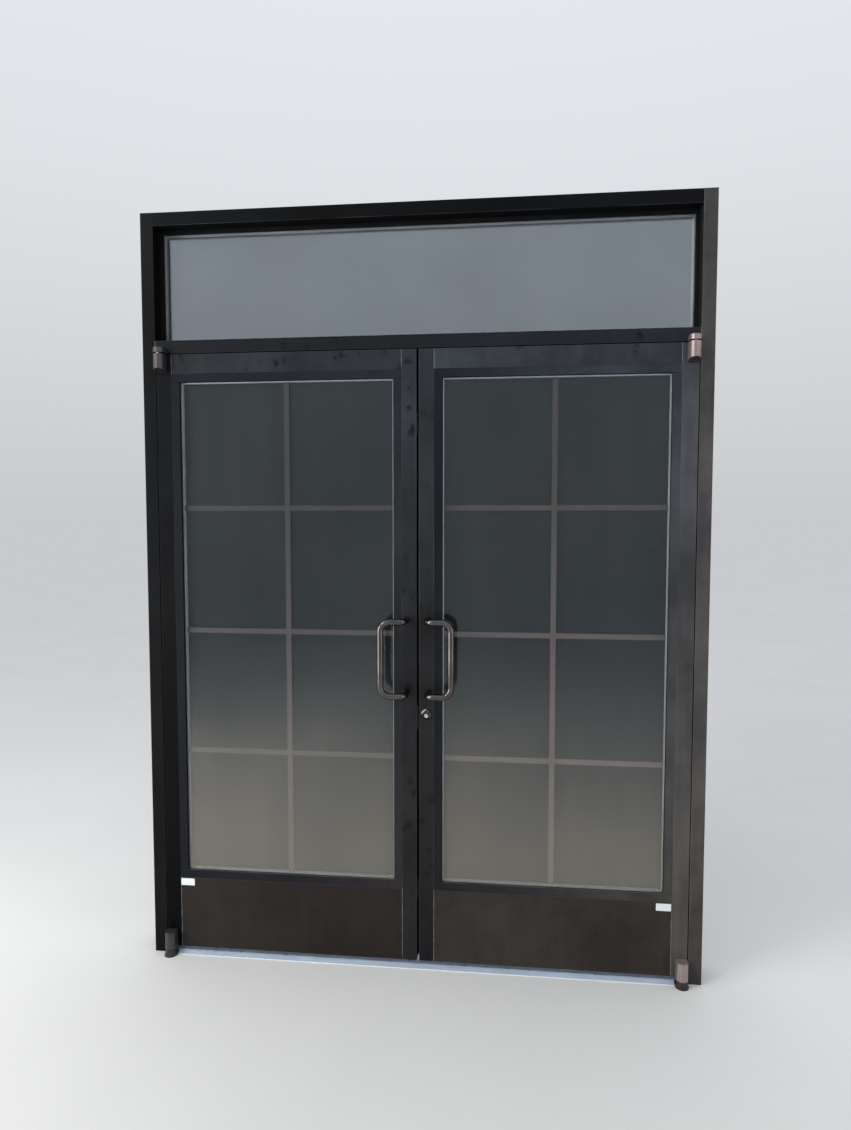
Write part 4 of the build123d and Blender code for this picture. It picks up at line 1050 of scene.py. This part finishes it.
# %% Pulls
# Painted shade: steel tones far darker than bare steel, for the dark surroundings the pulls mirror.
STEEL_TONES = ((0.080, 0.073, 0.071), (0.138, 0.127, 0.124))

satin, tree, shader = new_material("satin_steel")
belt = noise(tree, place(tree, (1.0, 1.0, 3.0)), per_metre=900.0, detail=2.0)
hands = noise(tree, place(tree), per_metre=22.0, detail=5.0)
steel = between(tree, hands, 0.35, 0.70, STEEL_TONES)
belt_gloss = between(tree, belt, 0.3, 0.7, (0.10, 0.16))
hand_gloss = between(tree, hands, 0.3, 0.7, (0.10, 0.19))
wire(tree, shader, steel, blend(tree, 0.5, belt_gloss, hand_gloss))
shader.inputs["Metallic"].default_value = 1.0
relief(tree, shader, belt, metres=0.00002, strength=0.3)
dress(satin, "left_outside_pull", "left_inside_pull", "right_outside_pull", "right_inside_pull")
print("pieces dressed so far:", len(dressed))

# %% [markdown]
# The lock cylinder has a dark oxidised trim ring round a nickel plug, with a painted highlight, a bright arc
# at its upper left. The case, the strike and the flush bolts are zinc-plated steel, with the soft clouds of
# plating.

# %% Lock and bolts
NICKEL_TONES = ((0.66, 0.63, 0.58), (0.80, 0.78, 0.74))
ZINC_TONES = ((0.36, 0.37, 0.38), (0.52, 0.52, 0.53))
TRIM_TONES = ((0.030, 0.027, 0.027), (0.16, 0.148, 0.136))
PAINTED_TRIM_HIGHLIGHT = (0.62, 0.59, 0.55)
CYLINDER_LOW, CYLINDER_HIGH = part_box("lock_cylinder")
CYLINDER_MIDDLE = (CYLINDER_LOW + CYLINDER_HIGH) / 2
TRIM_HIGHLIGHT_FROM = CYLINDER_MIDDLE.z - CYLINDER_MIDDLE.x + 0.0145
TRIM_HIGHLIGHT_FADE = 0.004

trim, tree, shader = new_material("oxidised_trim")
blotches = noise(tree, place(tree), per_metre=75.0)
fine = noise(tree, place(tree), per_metre=1500.0, detail=2.0)
trim_tone = between(tree, blotches, 0.50, 0.64, TRIM_TONES)
# Painted highlight: the trim ring turns bright towards its upper left.
up_left = arithmetic(tree, "SUBTRACT", coordinate(tree, "Z"), coordinate(tree, "X"))
painted_rim_highlight = fading(tree, up_left, TRIM_HIGHLIGHT_FROM, TRIM_HIGHLIGHT_FROM + TRIM_HIGHLIGHT_FADE)
trim_tone = blend(tree, painted_rim_highlight, trim_tone, PAINTED_TRIM_HIGHLIGHT)
wire(tree, shader, trim_tone, between(tree, fine, 0.3, 0.7, (0.16, 0.30)))
shader.inputs["Metallic"].default_value = 1.0
relief(tree, shader, fine, metres=0.00002, strength=0.3)
dress(trim, "lock_cylinder", "thumb_turn_cylinder", "thumb_turn")

nickel = even_finish("nickel", NICKEL_TONES, metal=1.0, dull=0.14, per_metre=60.0, grain=1200.0)
zinc = even_finish("zinc", ZINC_TONES, metal=1.0, dull=0.26, per_metre=55.0, grain=1200.0)
dress(nickel, "key_plug")
dress(zinc, "lock_case", "deadbolt", "strike_plate")
dress(zinc, "top_flush_bolt", "bottom_flush_bolt", "flush_bolt_guides")
print("pieces dressed in all:", len(dressed), "of", len(nodes))

# %% [markdown]
# The screws are plain zinc, dull and cloudy from handling, and the blank plates a bright satin white, with
# grime along the rim where a cloth doesn't reach.

# %% Screws and blank plates
SCREW_TONES = ((0.30, 0.30, 0.30), (0.50, 0.50, 0.49))
RIM_GRIME = (0.30, 0.31, 0.31)
RIM_REACH = 0.0016
RIM_SHARE = 0.45
PLATE_TONES = ((0.66, 0.70, 0.70), (0.76, 0.80, 0.79))

screw_zinc = even_finish("screw_zinc", SCREW_TONES, metal=0.9, dull=0.30, per_metre=320.0, grain=1500.0)
for screw in threshold_screws + edge_screws:
    screw.data.materials.append(screw_zinc)

for plate in (left_plate, right_plate):
    finish, tree, shader = new_material(plate.name + "_finish")
    low_x = min(v.co.x for v in plate.data.vertices)
    low_z = min(v.co.z for v in plate.data.vertices)
    side_rim = band_at_ends(tree, "X", low_x, low_x + PLATE_WIDTH, RIM_REACH)
    level_rim = band_at_ends(tree, "Z", low_z, low_z + PLATE_HEIGHT, RIM_REACH)
    grime = arithmetic(tree, "MULTIPLY", arithmetic(tree, "MAXIMUM", side_rim, level_rim), RIM_SHARE)
    smut = noise(tree, place(tree), per_metre=140.0)
    tone = between(tree, smut, 0.35, 0.70, PLATE_TONES)
    tone = blend(tree, grime, tone, RIM_GRIME)
    wire(tree, shader, tone, between(tree, smut, 0.3, 0.7, (0.30, 0.48)))
    plate.data.materials.append(finish)
print("materials in all:", len(bpy.data.materials))
